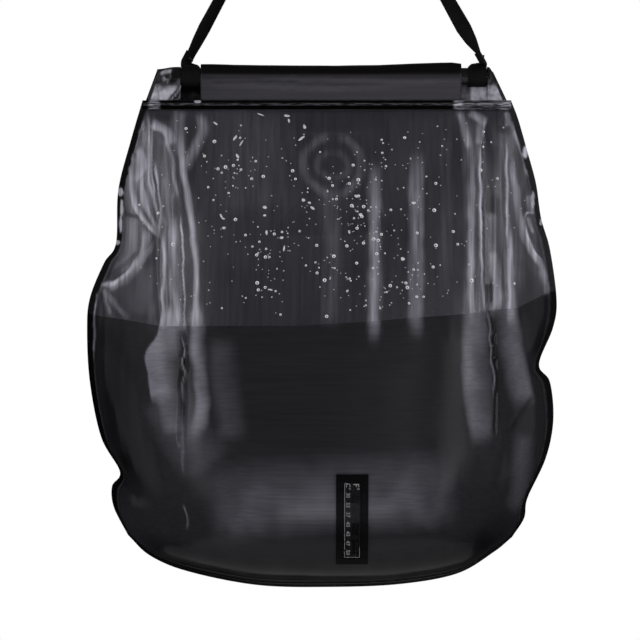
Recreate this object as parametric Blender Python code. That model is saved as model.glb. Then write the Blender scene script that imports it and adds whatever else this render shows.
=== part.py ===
"""Camp shower bag, half full: a clear and a black PVC sheet welded into a bag, a rod in the bag's hem,
a webbing strap to hang it by, a strip thermometer in front, a screw-capped fill port and a capped
outlet behind.

Metres, +Z up. The bag's front faces -Y. The origin is the underside of the strap's bend, where a hook
bears.
"""

import math

import bmesh
import bpy
from mathutils import Vector

# Clearances
face_gap = 0.0003       # between pieces that touch
running_gap = 0.0004    # between a round piece and what turns on it

# Bag: two welded sheets
bag_width = 0.517       # widest place of the welded outline
bag_height = 0.535      # from the top of the hem weld to the bottom edge
bag_depth = 0.190       # front to back where the water bulges it most
film_thickness = 0.0006
weld_width = 0.009      # flat welded edge at the sides and the bottom
hem_weld_height = 0.0115
sheet_gap = 0.0003      # between the two sheets at the weld

# Hem and rod
hem_drop = 0.0264       # rod axis to the top of the hem weld
rod_radius = 0.0095
rod_wall = 0.002
rod_left_reach = 0.004      # past the left cut-out, under the hem end
rod_right_stop = 0.0026     # short of the right cut-out's far side
plug_rim = 0.0012
plug_depth = 0.010
sleeve_thickness = 0.0006
rib_height = 0.0006
weld_bar_thickness = 0.001
lip_margin = 0.0015     # how far the hem's lips stop short of the bulge
left_cutout_width = 0.022
right_cutout_width = 0.0286
left_end_length = 0.0423    # hem end outside the cut-out, along the weld
right_end_length = 0.0264
left_end_slant = 0.0165     # how far its top stops short of its foot
right_end_slant = 0.0196
hood_margin = 0.0005        # past the rod's plug

# Strap
strap_drop = 0.302      # hook to rod axis
strap_width = 0.020
strap_thickness = 0.0016
strap_bend_radius = 0.010
loop_pinch_height = 0.015   # above the rod axis, where the two layers meet
loop_tail_height = 0.026    # above the rod axis, where the sewn tail ends
right_loop_shift = 0.003    # outwards from the middle of its cut-out
left_leg_shift = 0.0057     # outwards from a loop's middle to its leg's foot
right_leg_shift = 0.0071
tack_length = 0.003
tack_thickness = 0.0008

# Thermometer
thermometer_width = 0.034
thermometer_length = 0.103
thermometer_floor = 0.001
thermometer_rim = 0.0024
recess_width = 0.018
recess_length = 0.086
recess_slope = 0.0005
strip_thickness = 0.0004
cover_thickness = 0.0004

# Fill port, measured outwards from the back sheet's outer face
port_flange_radius = 0.033
port_flange_thickness = 0.0012
port_boss_width = 0.004
port_boss_height = 0.003
neck_radius = 0.017
neck_wall = 0.0025
neck_length = 0.014
neck_lip_width = 0.004
neck_lip_thickness = 0.0015
collar_width = 0.0032
collar_thickness = 0.0018
thread_pitch = 0.004
thread_height = 0.001
thread_flat = 0.0006
gasket_thickness = 0.002
cap_wall = 0.0048
cap_top_thickness = 0.0024
knurl_depth = 0.0006
button_stem_radius = 0.002
button_head_width = 0.0025
button_head_thickness = 0.0015
leash_width = 0.008
leash_thickness = 0.0016
leash_reach = 0.0045    # how far the leash stands clear of the cap

# Outlet, measured outwards from the back sheet's outer face
outlet_flange_radius = 0.025
outlet_flange_thickness = 0.0012
outlet_boss_width = 0.005
outlet_boss_height = 0.003
spigot_radius = 0.006
spigot_bore_radius = 0.0042
spigot_length = 0.030
spigot_root_radius = 0.007
spigot_lip_width = 0.003
spigot_lip_thickness = 0.0015
barb_height = 0.001
barb_length = 0.005
barb_count = 3
outlet_cap_wall = 0.0022
outlet_cap_top_thickness = 0.002
outlet_grip_width = 0.002
outlet_grip_length = 0.004
outlet_seal_thickness = 0.0015

cut_overrun = 0.004

# Outline of the welded bag as (x, z) shares of its width and height, from above the hem weld's top edge down.
left_edge_shares = (
    (-0.401, 0.0), (-0.4255, 0.081), (-0.4526, 0.184), (-0.4575, 0.293), (-0.483, 0.334),
    (-0.513, 0.406), (-0.519, 0.472), (-0.513, 0.579), (-0.489, 0.692), (-0.449, 0.763),
    (-0.466, 0.793), (-0.462, 0.836), (-0.432, 0.893),
)
right_edge_shares = (
    (0.383, 0.0), (0.398, 0.038), (0.417, 0.102), (0.436, 0.170), (0.447, 0.242), (0.466, 0.307),
    (0.480, 0.410), (0.472, 0.468), (0.4426, 0.542), (0.466, 0.579), (0.473, 0.657),
    (0.457, 0.735), (0.418, 0.817), (0.411, 0.858), (0.385, 0.8975),
)
bottom_edge_shares = (
    (-0.432, 0.893), (-0.385, 0.9355), (-0.304, 0.968), (-0.157, 0.996), (-0.002, 1.0),
    (0.147, 0.994), (0.268, 0.9725), (0.345, 0.929), (0.385, 0.8975),
)

# Where the sheets' mesh has its lines, as shares of the way across and down.
across_line_shares = (
    0.035, 0.06, 0.095, 0.14, 0.19, 0.245, 0.305, 0.37, 0.4335, 0.472, 0.51, 0.548, 0.5865, 0.65,
    0.71, 0.765, 0.815, 0.865, 0.91, 0.945, 0.97,
)
down_line_shares = (
    0.04, 0.07, 0.1, 0.1346, 0.167, 0.199, 0.24, 0.29, 0.34, 0.39, 0.44, 0.49, 0.54, 0.585, 0.63,
    0.67, 0.71, 0.735, 0.76, 0.785, 0.81, 0.84, 0.87, 0.9, 0.925, 0.945, 0.96, 0.972,
)
fitting_across_share = 0.51
fitting_half_across_share = 0.0765
port_down_share = 0.1346
port_half_down_share = 0.0646
outlet_down_share = 0.76
outlet_half_down_share = 0.05
pad_fade_share = 0.07
thermometer_x_share = 0.0425     # of the bag's width, from the middle
thermometer_top_share = 0.757    # of the bag's height
evening_share = 0.1
nick_fade_share = 0.16
slope_share = 0.01

# The weld bar's two ribs: the top and the foot of each slope, as shares of the bar's height.
weld_rib_shares = (0.0, 0.04, 0.31, 0.36, 0.53, 0.57, 0.96, 1.0)

# How the bulge falls off: powers of the share of the way across and down.
side_power, side_root = 2.4, 0.75
rise_power, fall_power, fall_root = 0.75, 6.0, 0.5

# How far the hem's two outer ends drop, as shares of the way from the hem's crown to its foot.
left_end_drop_share, right_end_drop_share = 0.05, 0.12

# The cap's thread lies half a turn from the neck's, between its turns.
thread_mesh_share = 0.5

# Twist of the strap's legs from facing the front, in degrees: in the sewn part above the rod, part
# way up, and over the hook.
left_twist = (71.0, 57.0, 90.0)
right_twist = (72.0, 31.0, 90.0)

# Places along the strap, as shares of a leg and of the way from the pinch to the rod.
middle_twist_share = 0.12
neck_shares = (0.33, 0.67)
sewn_shares = (1.0, 0.5, 0.2, 0.0)      # of the sewn part, from its tail down to the pinch
tack_width_share = 0.55     # of the strap's width

# The leash's bends: over the cap as shares of its radius, outside it as shares of the leash's reach
# and thickness.
leash_over_cap_shares = (0.5, 0.87)
leash_shoulder_share, leash_heel_share = 0.45, 0.6
leash_heel_rise_share = 0.7

# Counts
segments = 28
cap_rib_count = 18
rod_segments = 32

# Places that follow from the sizes
rod_z = -strap_drop
hem_z = rod_z - hem_drop
sleeve_radius = rod_radius + running_gap + sleeve_thickness / 2
loop_radius = rod_radius + running_gap + strap_thickness / 2
layer_offset = strap_thickness / 2 + running_gap / 2
left_foot_x = left_edge_shares[0][0] * bag_width
right_foot_x = right_edge_shares[0][0] * bag_width
left_cutout = (left_foot_x + left_end_length, left_foot_x + left_end_length + left_cutout_width)
right_cutout = (right_foot_x - right_end_length - right_cutout_width, right_foot_x - right_end_length)
rod_ends = (left_cutout[0] - rod_left_reach, right_cutout[1] - rod_right_stop)
hood_length = rod_left_reach + face_gap + plug_rim + hood_margin
lip_height = hem_weld_height - lip_margin
lip_y = sheet_gap / 2 + film_thickness + face_gap + sleeve_thickness / 2


def clear_scene():
    for item in list(bpy.data.objects):
        bpy.data.objects.remove(item, do_unlink=True)


def make_material(name, colour, roughness, metallic=0.0, alpha=1.0):
    material = bpy.data.materials.new(name)
    material.use_nodes = True
    shader = material.node_tree.nodes["Principled BSDF"]
    shader.inputs["Base Color"].default_value = (*colour, 1.0)
    shader.inputs["Roughness"].default_value = roughness
    shader.inputs["Metallic"].default_value = metallic
    shader.inputs["Alpha"].default_value = alpha
    return material


def make_carrier(name, place):
    carrier = bpy.data.objects.new(name, None)
    carrier.location = place
    bpy.context.scene.collection.objects.link(carrier)
    return carrier


def add_piece(name, points, faces, material, carrier, closed=True):
    """An object from world points, with its origin on its carrier's place."""
    mesh = bpy.data.meshes.new(name)
    origin = carrier.location.copy()
    mesh.from_pydata([Vector(point) - origin for point in points], [], faces)
    if closed:
        work = bmesh.new()
        work.from_mesh(mesh)
        bmesh.ops.recalc_face_normals(work, faces=work.faces)
        work.to_mesh(mesh)
        work.free()
    mesh.shade_smooth()
    mesh.set_sharp_from_angle(angle=math.radians(35))
    mesh.materials.append(material)
    piece = bpy.data.objects.new(name, mesh)
    piece.parent = carrier
    bpy.context.scene.collection.objects.link(piece)
    return piece


def hide_helper(piece):
    piece.hide_render = True
    piece.display_type = "WIRE"


def add_thickness(piece, thickness, offset, even=True):
    solidify = piece.modifiers.new("thickness", "SOLIDIFY")
    solidify.thickness = thickness
    solidify.offset = offset
    solidify.use_even_offset = even


def add_boolean(piece, other, operation):
    boolean = piece.modifiers.new(operation.lower(), "BOOLEAN")
    boolean.operation = operation
    boolean.object = other


def smooth_path(points, steps=12):
    """A Catmull-Rom curve through the points, as many close points."""
    points = [Vector(point) for point in points]
    ends = [points[0] * 2 - points[1], *points, points[-1] * 2 - points[-2]]
    path = []
    for a, b, c, d in zip(ends, ends[1:], ends[2:], ends[3:]):
        for step in range(steps):
            s = step / steps
            square, cube = a * 2 - b * 5 + c * 4 - d, b * 3 - a - c * 3 + d
            path.append((b * 2 + (c - a) * s + square * s**2 + cube * s**3) / 2)
    path.append(points[-1])
    return path


def by_length(path):
    """A function from a share of the path's length to its point."""
    lengths = [0.0]
    for a, b in zip(path, path[1:]):
        lengths.append(lengths[-1] + (b - a).length)

    def point_at(share):
        target = min(max(share, 0.0), 1.0) * lengths[-1]
        for i in range(len(path) - 1):
            if lengths[i + 1] >= target:
                step = lengths[i + 1] - lengths[i]
                return path[i].lerp(path[i + 1], (target - lengths[i]) / step if step else 0.0)
        return path[-1]

    return point_at


def outline_curve(shares):
    corners = [Vector((x * bag_width, 0.0, hem_z - z * bag_height)) for x, z in shares]
    return by_length(smooth_path(corners))


left_edge = outline_curve(left_edge_shares)
right_edge = outline_curve(right_edge_shares)
bottom_edge = outline_curve(bottom_edge_shares)


def evened(edge, down):
    """The edge's place with its nicks averaged out."""
    reach = min(evening_share, down, 1.0 - down)
    samples = [edge(down + reach * step / 4) for step in range(-4, 5)]
    return sum(samples, Vector()) / len(samples)


def on_outline(across, down):
    """The flat place of a point of the sheets, blended from the four edges. The nicks fade out inwards."""
    top_left, top_right = left_edge(0.0), right_edge(0.0)
    bottom_left, bottom_right = left_edge(1.0), right_edge(1.0)
    top = top_left.lerp(top_right, across)
    rows = top.lerp(bottom_edge(across), down)
    even_left, even_right = evened(left_edge, down), evened(right_edge, down)
    columns = even_left.lerp(even_right, across)
    corners = top.lerp(bottom_left.lerp(bottom_right, across), down)
    left_nick = (left_edge(down) - even_left) * max(0.0, 1.0 - across / nick_fade_share) ** 2
    from_right = 1.0 - across
    right_nick = (right_edge(down) - even_right) * max(0.0, 1.0 - from_right / nick_fade_share) ** 2
    return rows + columns - corners + left_nick + right_nick


def inside_share(share, first, last):
    return min(max((share - first) / (1.0 - first - last), 0.0), 1.0)


def rise_at(down):
    return down**rise_power * (1.0 - down**fall_power) ** fall_root


fullest_rise = max(rise_at(step / 100) for step in range(101))


def natural_depth(across, down):
    """How far a sheet stands out from the weld's plane."""
    edge = weld_width / bag_width
    u = inside_share(across, edge, edge)
    v = inside_share(down, hem_weld_height / bag_height, weld_width / bag_height)
    side = (1.0 - abs(2.0 * u - 1.0) ** side_power) ** side_root
    return bag_depth / 2 * side * rise_at(v) / fullest_rise


pads = (
    (port_down_share, port_half_down_share),
    (outlet_down_share, outlet_half_down_share),
)


def back_depth(across, down):
    """The back sheet's bulge, with a flat place under each welded fitting."""
    depth = natural_depth(across, down)
    for pad_down, half_down in pads:
        aside = abs(across - fitting_across_share) - fitting_half_across_share
        beyond = max(aside, abs(down - pad_down) - half_down)
        weight = 1.0 - min(max(beyond / pad_fade_share, 0.0), 1.0)
        edge_weight = min(max((down - hem_weld_height / bag_height) / (port_half_down_share / 2), 0.0), 1.0)
        pad_depth = natural_depth(fitting_across_share, pad_down)
        depth += (pad_depth - depth) * weight * edge_weight
    return depth


def sheet_point(across, down, side, depth):
    place = on_outline(across, down)
    place.y = side * (sheet_gap / 2 + depth(across, down))
    return place


def front_point(across, down, lift):
    """A point held off the front sheet's inner face along its normal."""

    def front(a, d):
        return sheet_point(a, d, -1, natural_depth)

    sideways = front(across + slope_share, down) - front(across - slope_share, down)
    downwards = front(across, down + slope_share) - front(across, down - slope_share)
    normal = downwards.cross(sideways).normalized()
    if normal.y > 0:
        normal.negate()
    return front(across, down) + normal * lift


def grid_faces(rows, columns):
    return [
        (r * columns + c, r * columns + c + 1, (r + 1) * columns + c + 1, (r + 1) * columns + c)
        for r in range(rows - 1)
        for c in range(columns - 1)
    ]


def make_sheet(name, side, depth, material, carrier):
    edge = weld_width / bag_width
    across_lines = [0.0, edge, *across_line_shares, 1.0 - edge, 1.0]
    down_lines = [
        0.0, hem_weld_height / bag_height, *down_line_shares, 1.0 - weld_width / bag_height, 1.0,
    ]
    points = [sheet_point(across, down, side, depth) for down in down_lines for across in across_lines]
    faces = grid_faces(len(down_lines), len(across_lines))
    if side < 0:
        faces = [face[::-1] for face in faces]
    sheet = add_piece(name, points, faces, material, carrier, closed=False)
    add_thickness(sheet, film_thickness, 1.0)
    return sheet


def slab(name, rows, carrier, material):
    """A closed solid from rows of (inner, outer) point pairs laid over a surface."""
    count = len(rows[0])
    points = [inner for row in rows for inner, _ in row] + [outer for row in rows for _, outer in row]
    shift = len(rows) * count
    lower = [face[::-1] for face in grid_faces(len(rows), count)]
    upper = [tuple(i + shift for i in face) for face in grid_faces(len(rows), count)]
    rim = [c for c in range(count)]
    rim += [r * count + count - 1 for r in range(1, len(rows))]
    rim += [(len(rows) - 1) * count + c for c in range(count - 2, -1, -1)]
    rim += [r * count for r in range(len(rows) - 2, 0, -1)]
    walls = [(a, b, b + shift, a + shift) for a, b in zip(rim, rim[1:] + rim[:1])]
    return add_piece(name, points, lower + upper + walls, material, carrier)


def front_at(x, z, lift):
    """front_point by the place seen from the front, found in small steps."""
    across, down = 0.5, (hem_z - z) / bag_height
    width = right_edge(0.5).x - left_edge(0.5).x
    for _ in range(12):
        place = on_outline(across, down)
        across += (x - place.x) / width
        down += (place.z - z) / bag_height
    return front_point(across, down, lift)


def make_thermometer(pad_material, strip_material, cover_material, carrier):
    middle_x = thermometer_x_share * bag_width
    top_z = hem_z - thermometer_top_share * bag_height
    base = film_thickness + face_gap
    steps = 24
    run = [front_at(middle_x, top_z - thermometer_length * i / steps, base) for i in range(steps + 1)]
    run_length = sum((b - a).length for a, b in zip(run, run[1:]))
    run_point = by_length(run)

    def height_after(length):
        return run_point(length / run_length).z

    margin = (thermometer_length - recess_length) / 2
    inner = [margin + recess_length * i / 8 for i in range(9)]
    last_rim = thermometer_length - margin + recess_slope
    lengths = [0.0, margin - recess_slope, *inner, last_rim, thermometer_length]
    half, half_recess = thermometer_width / 2, recess_width / 2
    first_rim = half_recess + recess_slope
    places = [-half, -first_rim, -half_recess, 0.0, half_recess, first_rim, half]
    rows = []
    for r, length in enumerate(lengths):
        row = []
        for c, place in enumerate(places):
            low = 2 <= c <= len(places) - 3 and 2 <= r <= len(lengths) - 3
            top = base + (thermometer_floor if low else thermometer_rim)
            x, z = middle_x + place, height_after(length)
            row.append((front_at(x, z, base), front_at(x, z, top)))
        rows.append(row)
    slab("thermometer_pad", rows, carrier, pad_material)

    def layer(name, bottom, thickness, material):
        layer_half = half_recess - face_gap
        pairs = []
        for i in range(9):
            z = height_after(margin + face_gap + (recess_length - face_gap * 2) * i / 8)
            pairs.append([
                (front_at(middle_x + x, z, bottom), front_at(middle_x + x, z, bottom + thickness))
                for x in (-layer_half, 0.0, layer_half)
            ])
        slab(name, pairs, carrier, material)

    strip_bottom = base + thermometer_floor + face_gap
    cover_bottom = strip_bottom + strip_thickness + face_gap
    layer("thermometer_strip", strip_bottom, strip_thickness, strip_material)
    layer("thermometer_cover", cover_bottom, cover_thickness, cover_material)


def hem_profile():
    """(y, z) of the hem's middle line, from the front lip's foot over the rod to the back lip's foot."""
    foot, top = hem_z - lip_height, hem_z
    reach = math.hypot(lip_y, hem_drop)
    lean = math.atan2(lip_y, hem_drop)
    opening = math.acos(sleeve_radius / reach)
    first = -math.pi / 2 - lean - opening
    last = -math.pi / 2 + lean + opening - 2 * math.pi
    count = 16
    front = [(-lip_y, foot), (-lip_y, top)]
    arc = []
    for i in range(count + 1):
        turn = first + (last - first) * i / count
        arc.append((sleeve_radius * math.cos(turn), rod_z + sleeve_radius * math.sin(turn)))
    return front + arc + [(lip_y, top), (lip_y, foot)]


def make_hem(name, stations, material, carrier, even=True):
    """A folded sheet through stations, each a list of points along the hem's profile."""
    points = [point for station in stations for point in station]
    count = len(stations[0])
    hem = add_piece(name, points, grid_faces(len(stations), count), material, carrier, closed=False)
    add_thickness(hem, sleeve_thickness, 0.0, even)
    return hem


def straight_station(x):
    return [(x, y, z) for y, z in hem_profile()]


def pinched_station(top_x, foot_x, drop_share):
    """The hem's outer end, welded flat along a slanted line."""
    foot = hem_z - lip_height
    crown = rod_z + sleeve_radius
    crown_end = crown - (crown - foot) * drop_share
    station = []
    for y, z in hem_profile():
        height = (z - foot) / (crown - foot)
        x = foot_x + (top_x - foot_x) * height
        station.append((x, min(max(y, -lip_y), lip_y), foot + (crown_end - foot) * height))
    return station


def make_hem_pieces(material, carrier):
    sleeve = [straight_station(left_cutout[1]), straight_station(right_cutout[0])]
    make_hem("rod_sleeve", sleeve, material, carrier)
    left = [
        pinched_station(left_foot_x + left_end_slant, left_foot_x, left_end_drop_share),
        straight_station(left_cutout[0] - hood_length),
        straight_station(left_cutout[0]),
    ]
    make_hem("sleeve_end_left", left, material, carrier, even=False)
    right = [
        straight_station(right_cutout[1]),
        pinched_station(right_foot_x - right_end_slant, right_foot_x, right_end_drop_share),
    ]
    make_hem("sleeve_end_right", right, material, carrier, even=False)


def make_hem_weld(material, carrier):
    """The ribbed weld bar over the hem's front lip: two raised ribs with a flat between."""
    back = -(lip_y + sleeve_thickness / 2 + face_gap)
    flat = back - weld_bar_thickness
    proud = flat - rib_height
    depths = (flat, proud, proud, flat, flat, proud, proud, flat)
    profile = [(y, hem_z - lip_height * share) for share, y in zip(weld_rib_shares, depths)]
    profile += [(back, hem_z - lip_height), (back, hem_z)]
    points = [(x, y, z) for x in (left_foot_x, right_foot_x) for y, z in profile]
    count = len(profile)
    faces = [(i, (i + 1) % count, count + (i + 1) % count, count + i) for i in range(count)]
    faces += [tuple(range(count)), tuple(range(2 * count - 1, count - 1, -1))]
    add_piece("hem_weld", points, faces, material, carrier)


def turned(name, profile, material, carrier, centre, axis="Y", count=segments, wave=None):
    """A turned solid. The profile is a closed ring of (radius, along), or starts and ends on the axis."""
    on_axis = profile[0][0] == 0 and profile[-1][0] == 0
    points, rings = [], []
    for i, (radius, along) in enumerate(profile):
        steps = 1 if radius == 0 else count
        rings.append((len(points), steps))
        for k in range(steps):
            angle = 2 * math.pi * k / count
            r = radius + (wave(i, along, angle) if wave and radius else 0.0)
            a, b = r * math.sin(angle), r * math.cos(angle)
            place = (a, along, b) if axis == "Y" else (along, a, b)
            points.append(Vector(place) + centre)
    faces = []
    pairs = list(zip(rings, rings[1:]))
    if not on_axis:
        pairs.append((rings[-1], rings[0]))
    for (first, first_steps), (second, second_steps) in pairs:
        for k in range(count):
            n = (k + 1) % count
            if first_steps == 1:
                faces.append((first, second + k, second + n))
            elif second_steps == 1:
                faces.append((first + k, second, first + n))
            else:
                faces.append((first + k, first + n, second + n, second + k))
    return add_piece(name, points, faces, material, carrier)


def make_rod(rod_material, plug_material, carrier):
    left, right = rod_ends
    bore = rod_radius - rod_wall
    axis = Vector((0.0, 0.0, rod_z))
    tube = [(rod_radius, left), (rod_radius, right), (bore, right), (bore, left)]
    turned("hanger_rod", tube, rod_material, carrier, axis, axis="X", count=rod_segments)
    stem = bore - face_gap
    for name, end, side in (("rod_plug_left", left, -1), ("rod_plug_right", right, 1)):
        near = end + side * face_gap
        far = end + side * (face_gap + plug_rim)
        inner = end - side * plug_depth
        rim = [(0.0, far), (rod_radius, far), (rod_radius, near)]
        profile = rim + [(stem, near), (stem, inner), (0.0, inner)]
        turned(name, profile, plug_material, carrier, axis, axis="X", count=rod_segments)


bend_z = strap_thickness / 2 - strap_bend_radius
loop_left_x = (left_cutout[0] + left_cutout[1]) / 2
loop_right_x = (right_cutout[0] + right_cutout[1]) / 2 + right_loop_shift
leg_left_x = loop_left_x - left_leg_shift
leg_right_x = loop_right_x + right_leg_shift


def leg_lean(run):
    """Angle of a leg from upright, from its loop to the bend over the hook."""
    rise = bend_z - rod_z - loop_pinch_height
    return math.atan2(run, rise) - math.asin(strap_bend_radius / math.hypot(run, rise))


def strap_side(loop_x, leg_x, twists):
    """(place, width direction) from the sewn tail, round the rod and up one leg to the hook's bend."""
    side = math.copysign(1.0, leg_x)
    lean = leg_lean(abs(leg_x))
    base = Vector((leg_x, 0.0, rod_z + loop_pinch_height))
    top = Vector((side * math.cos(lean), 0.0, math.sin(lean))) * strap_bend_radius
    top.z += bend_z
    along = (top - base).normalized()
    level = Vector((0.0, 1.0, 0.0)).cross(along)
    low, middle, high = twists
    tail_share = (loop_tail_height - loop_pinch_height) / (top.z - base.z)

    def turned_width(share):
        if share < tail_share:
            twist = low
        elif share < middle_twist_share:
            twist = low + (middle - low) * (share - tail_share) / (middle_twist_share - tail_share)
        else:
            twist = middle + (high - middle) * (share - middle_twist_share) / (1.0 - middle_twist_share)
        angle = math.radians(twist)
        return level * math.cos(angle) + Vector((0.0, math.sin(angle), 0.0))

    def layer_point(share, offset):
        width = turned_width(share)
        return base.lerp(top, share) + along.cross(width) * offset, width

    path = [layer_point(tail_share * share, layer_offset) for share in sewn_shares]

    reach = math.hypot(layer_offset, loop_pinch_height)
    first = math.pi / 2 - math.atan2(layer_offset, loop_pinch_height) - math.acos(loop_radius / reach)
    tangent_y, tangent_z = loop_radius * math.cos(first), loop_radius * math.sin(first)
    neck = []
    for share in neck_shares:
        angle = math.radians(low) * (1.0 - share) ** 2
        width = Vector((math.cos(angle), math.sin(angle), 0.0))
        y = layer_offset + (tangent_y - layer_offset) * share
        z = loop_pinch_height + (tangent_z - loop_pinch_height) * share
        neck.append((loop_x + (leg_x - loop_x) * (1.0 - share) ** 3, y, rod_z + z, width))
    path += [(Vector((x, y, z)), width) for x, y, z, width in neck]
    arc_steps = 18
    for i in range(arc_steps + 1):
        turn = first - (math.pi + 2 * first) * i / arc_steps
        place = Vector((loop_x, loop_radius * math.cos(turn), rod_z + loop_radius * math.sin(turn)))
        path.append((place, Vector((1.0, 0.0, 0.0))))
    path += [(Vector((x, -y, z)), width) for x, y, z, width in reversed(neck)]

    leg_steps = 20
    leg_places = [tail_share * share for share in reversed(sewn_shares[1:])]
    leg_places += [tail_share + (1.0 - tail_share) * i / leg_steps for i in range(leg_steps + 1)]
    for share in leg_places:
        path.append(layer_point(share, -layer_offset * max(0.0, 1.0 - share / middle_twist_share)))
    return path


def strap_path():
    """(place, width direction) from the left tail to the right one."""
    left = strap_side(loop_left_x, leg_left_x, left_twist)
    right = strap_side(loop_right_x, leg_right_x, right_twist)
    start, end = math.pi - leg_lean(-leg_left_x), leg_lean(leg_right_x)
    bend, bend_steps = [], 10
    for i in range(1, bend_steps):
        turn = start + (end - start) * i / bend_steps
        place = Vector((strap_bend_radius * math.cos(turn), 0.0, bend_z + strap_bend_radius * math.sin(turn)))
        bend.append((place, Vector((0.0, 1.0, 0.0))))
    return left + bend + right[::-1]


def make_strap(strap_material, tack_material, carrier):
    path = strap_path()
    points = []
    for i, (place, width) in enumerate(path):
        before, after = path[max(i - 1, 0)][0], path[min(i + 1, len(path) - 1)][0]
        normal = (after - before).cross(width).normalized()
        half_width, half_depth = width * (strap_width / 2), normal * (strap_thickness / 2)
        for across, through in ((-1, -1), (1, -1), (1, 1), (-1, 1)):
            points.append(place + half_width * across + half_depth * through)
    faces = [(0, 1, 2, 3), tuple(len(points) - 1 - i for i in range(4))]
    for i in range(len(path) - 1):
        for k in range(4):
            n = (k + 1) % 4
            faces.append((4 * i + k, 4 * i + n, 4 * i + 4 + n, 4 * i + 4 + k))
    add_piece("hanging_strap", points, faces, strap_material, carrier)

    for name, loop_x, leg_x, twists in (
        ("bar_tack_left", loop_left_x, leg_left_x, left_twist),
        ("bar_tack_right", loop_right_x, leg_right_x, right_twist),
    ):
        side_path = strap_side(loop_x, leg_x, twists)
        (tail_end, _), (tail_middle, width), (tail_low, _) = side_path[:3]
        along = (tail_end - tail_low).normalized()
        width = (width - along * width.dot(along)).normalized()
        normal = along.cross(width)
        outwards = strap_thickness / 2 + layer_offset * 2 + face_gap + tack_thickness / 2
        centre = tail_middle - normal * (outwards + running_gap)
        half_width, half_length = width * (strap_width * tack_width_share / 2), along * (tack_length / 2)
        half_depth = normal * (tack_thickness / 2)
        corners = [
            centre + half_width * a + half_length * b + half_depth * c
            for c in (-1, 1)
            for a, b in ((-1, -1), (1, -1), (1, 1), (-1, 1))
        ]
        sides = [(k, (k + 1) % 4, (k + 1) % 4 + 4, k + 4) for k in range(4)]
        add_piece(name, corners, [(0, 1, 2, 3), (7, 6, 5, 4), *sides], tack_material, carrier)


def ridge(along, angle, start, end, shift):
    """Height share of a right-hand thread's ridge, fading at both ends."""
    phase = ((along - start) / thread_pitch - angle / (2 * math.pi) + shift) % 1.0
    from_crest = abs(phase - 0.5) * thread_pitch
    height = min(max(1.0 - (from_crest - thread_flat / 2) / thread_height, 0.0), 1.0)
    ends = min((along - start) / (thread_pitch / 2), (end - along) / (thread_pitch / 2), 1.0)
    return height * max(ends, 0.0)


def thread_rows(radius, start, end):
    count = round((end - start) / (thread_pitch / 6))
    return [(radius, start + (end - start) * i / count) for i in range(count + 1)]


# The fill port's places along its axis, from the back sheet's outer face outwards.
film_inside = -(film_thickness + face_gap)
collar_low = face_gap + port_boss_height + face_gap
collar_high = collar_low + collar_thickness
collar_bore = neck_radius + thread_height + running_gap
collar_radius = collar_bore + collar_width
thread_start, thread_end = collar_high + face_gap * 2, neck_length - face_gap * 2
cap_low = collar_high + face_gap
cap_bore = neck_radius + thread_height + running_gap
cap_radius = cap_bore + cap_wall
cap_ceiling = neck_length + face_gap + gasket_thickness + face_gap
cap_top = cap_ceiling + cap_top_thickness
leash_low = (collar_low + collar_high) / 2
leash_high = cap_top + face_gap + leash_thickness / 2
button_top = cap_top + face_gap * 2 + leash_thickness

# The outlet's places along its axis, the same way.
outlet_cap_low = face_gap + outlet_boss_height + face_gap
outlet_cap_bore = spigot_radius + barb_height + running_gap
outlet_cap_radius = outlet_cap_bore + outlet_cap_wall
outlet_ceiling = spigot_length + face_gap + outlet_seal_thickness + face_gap
outlet_cap_top = outlet_ceiling + outlet_cap_top_thickness


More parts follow.
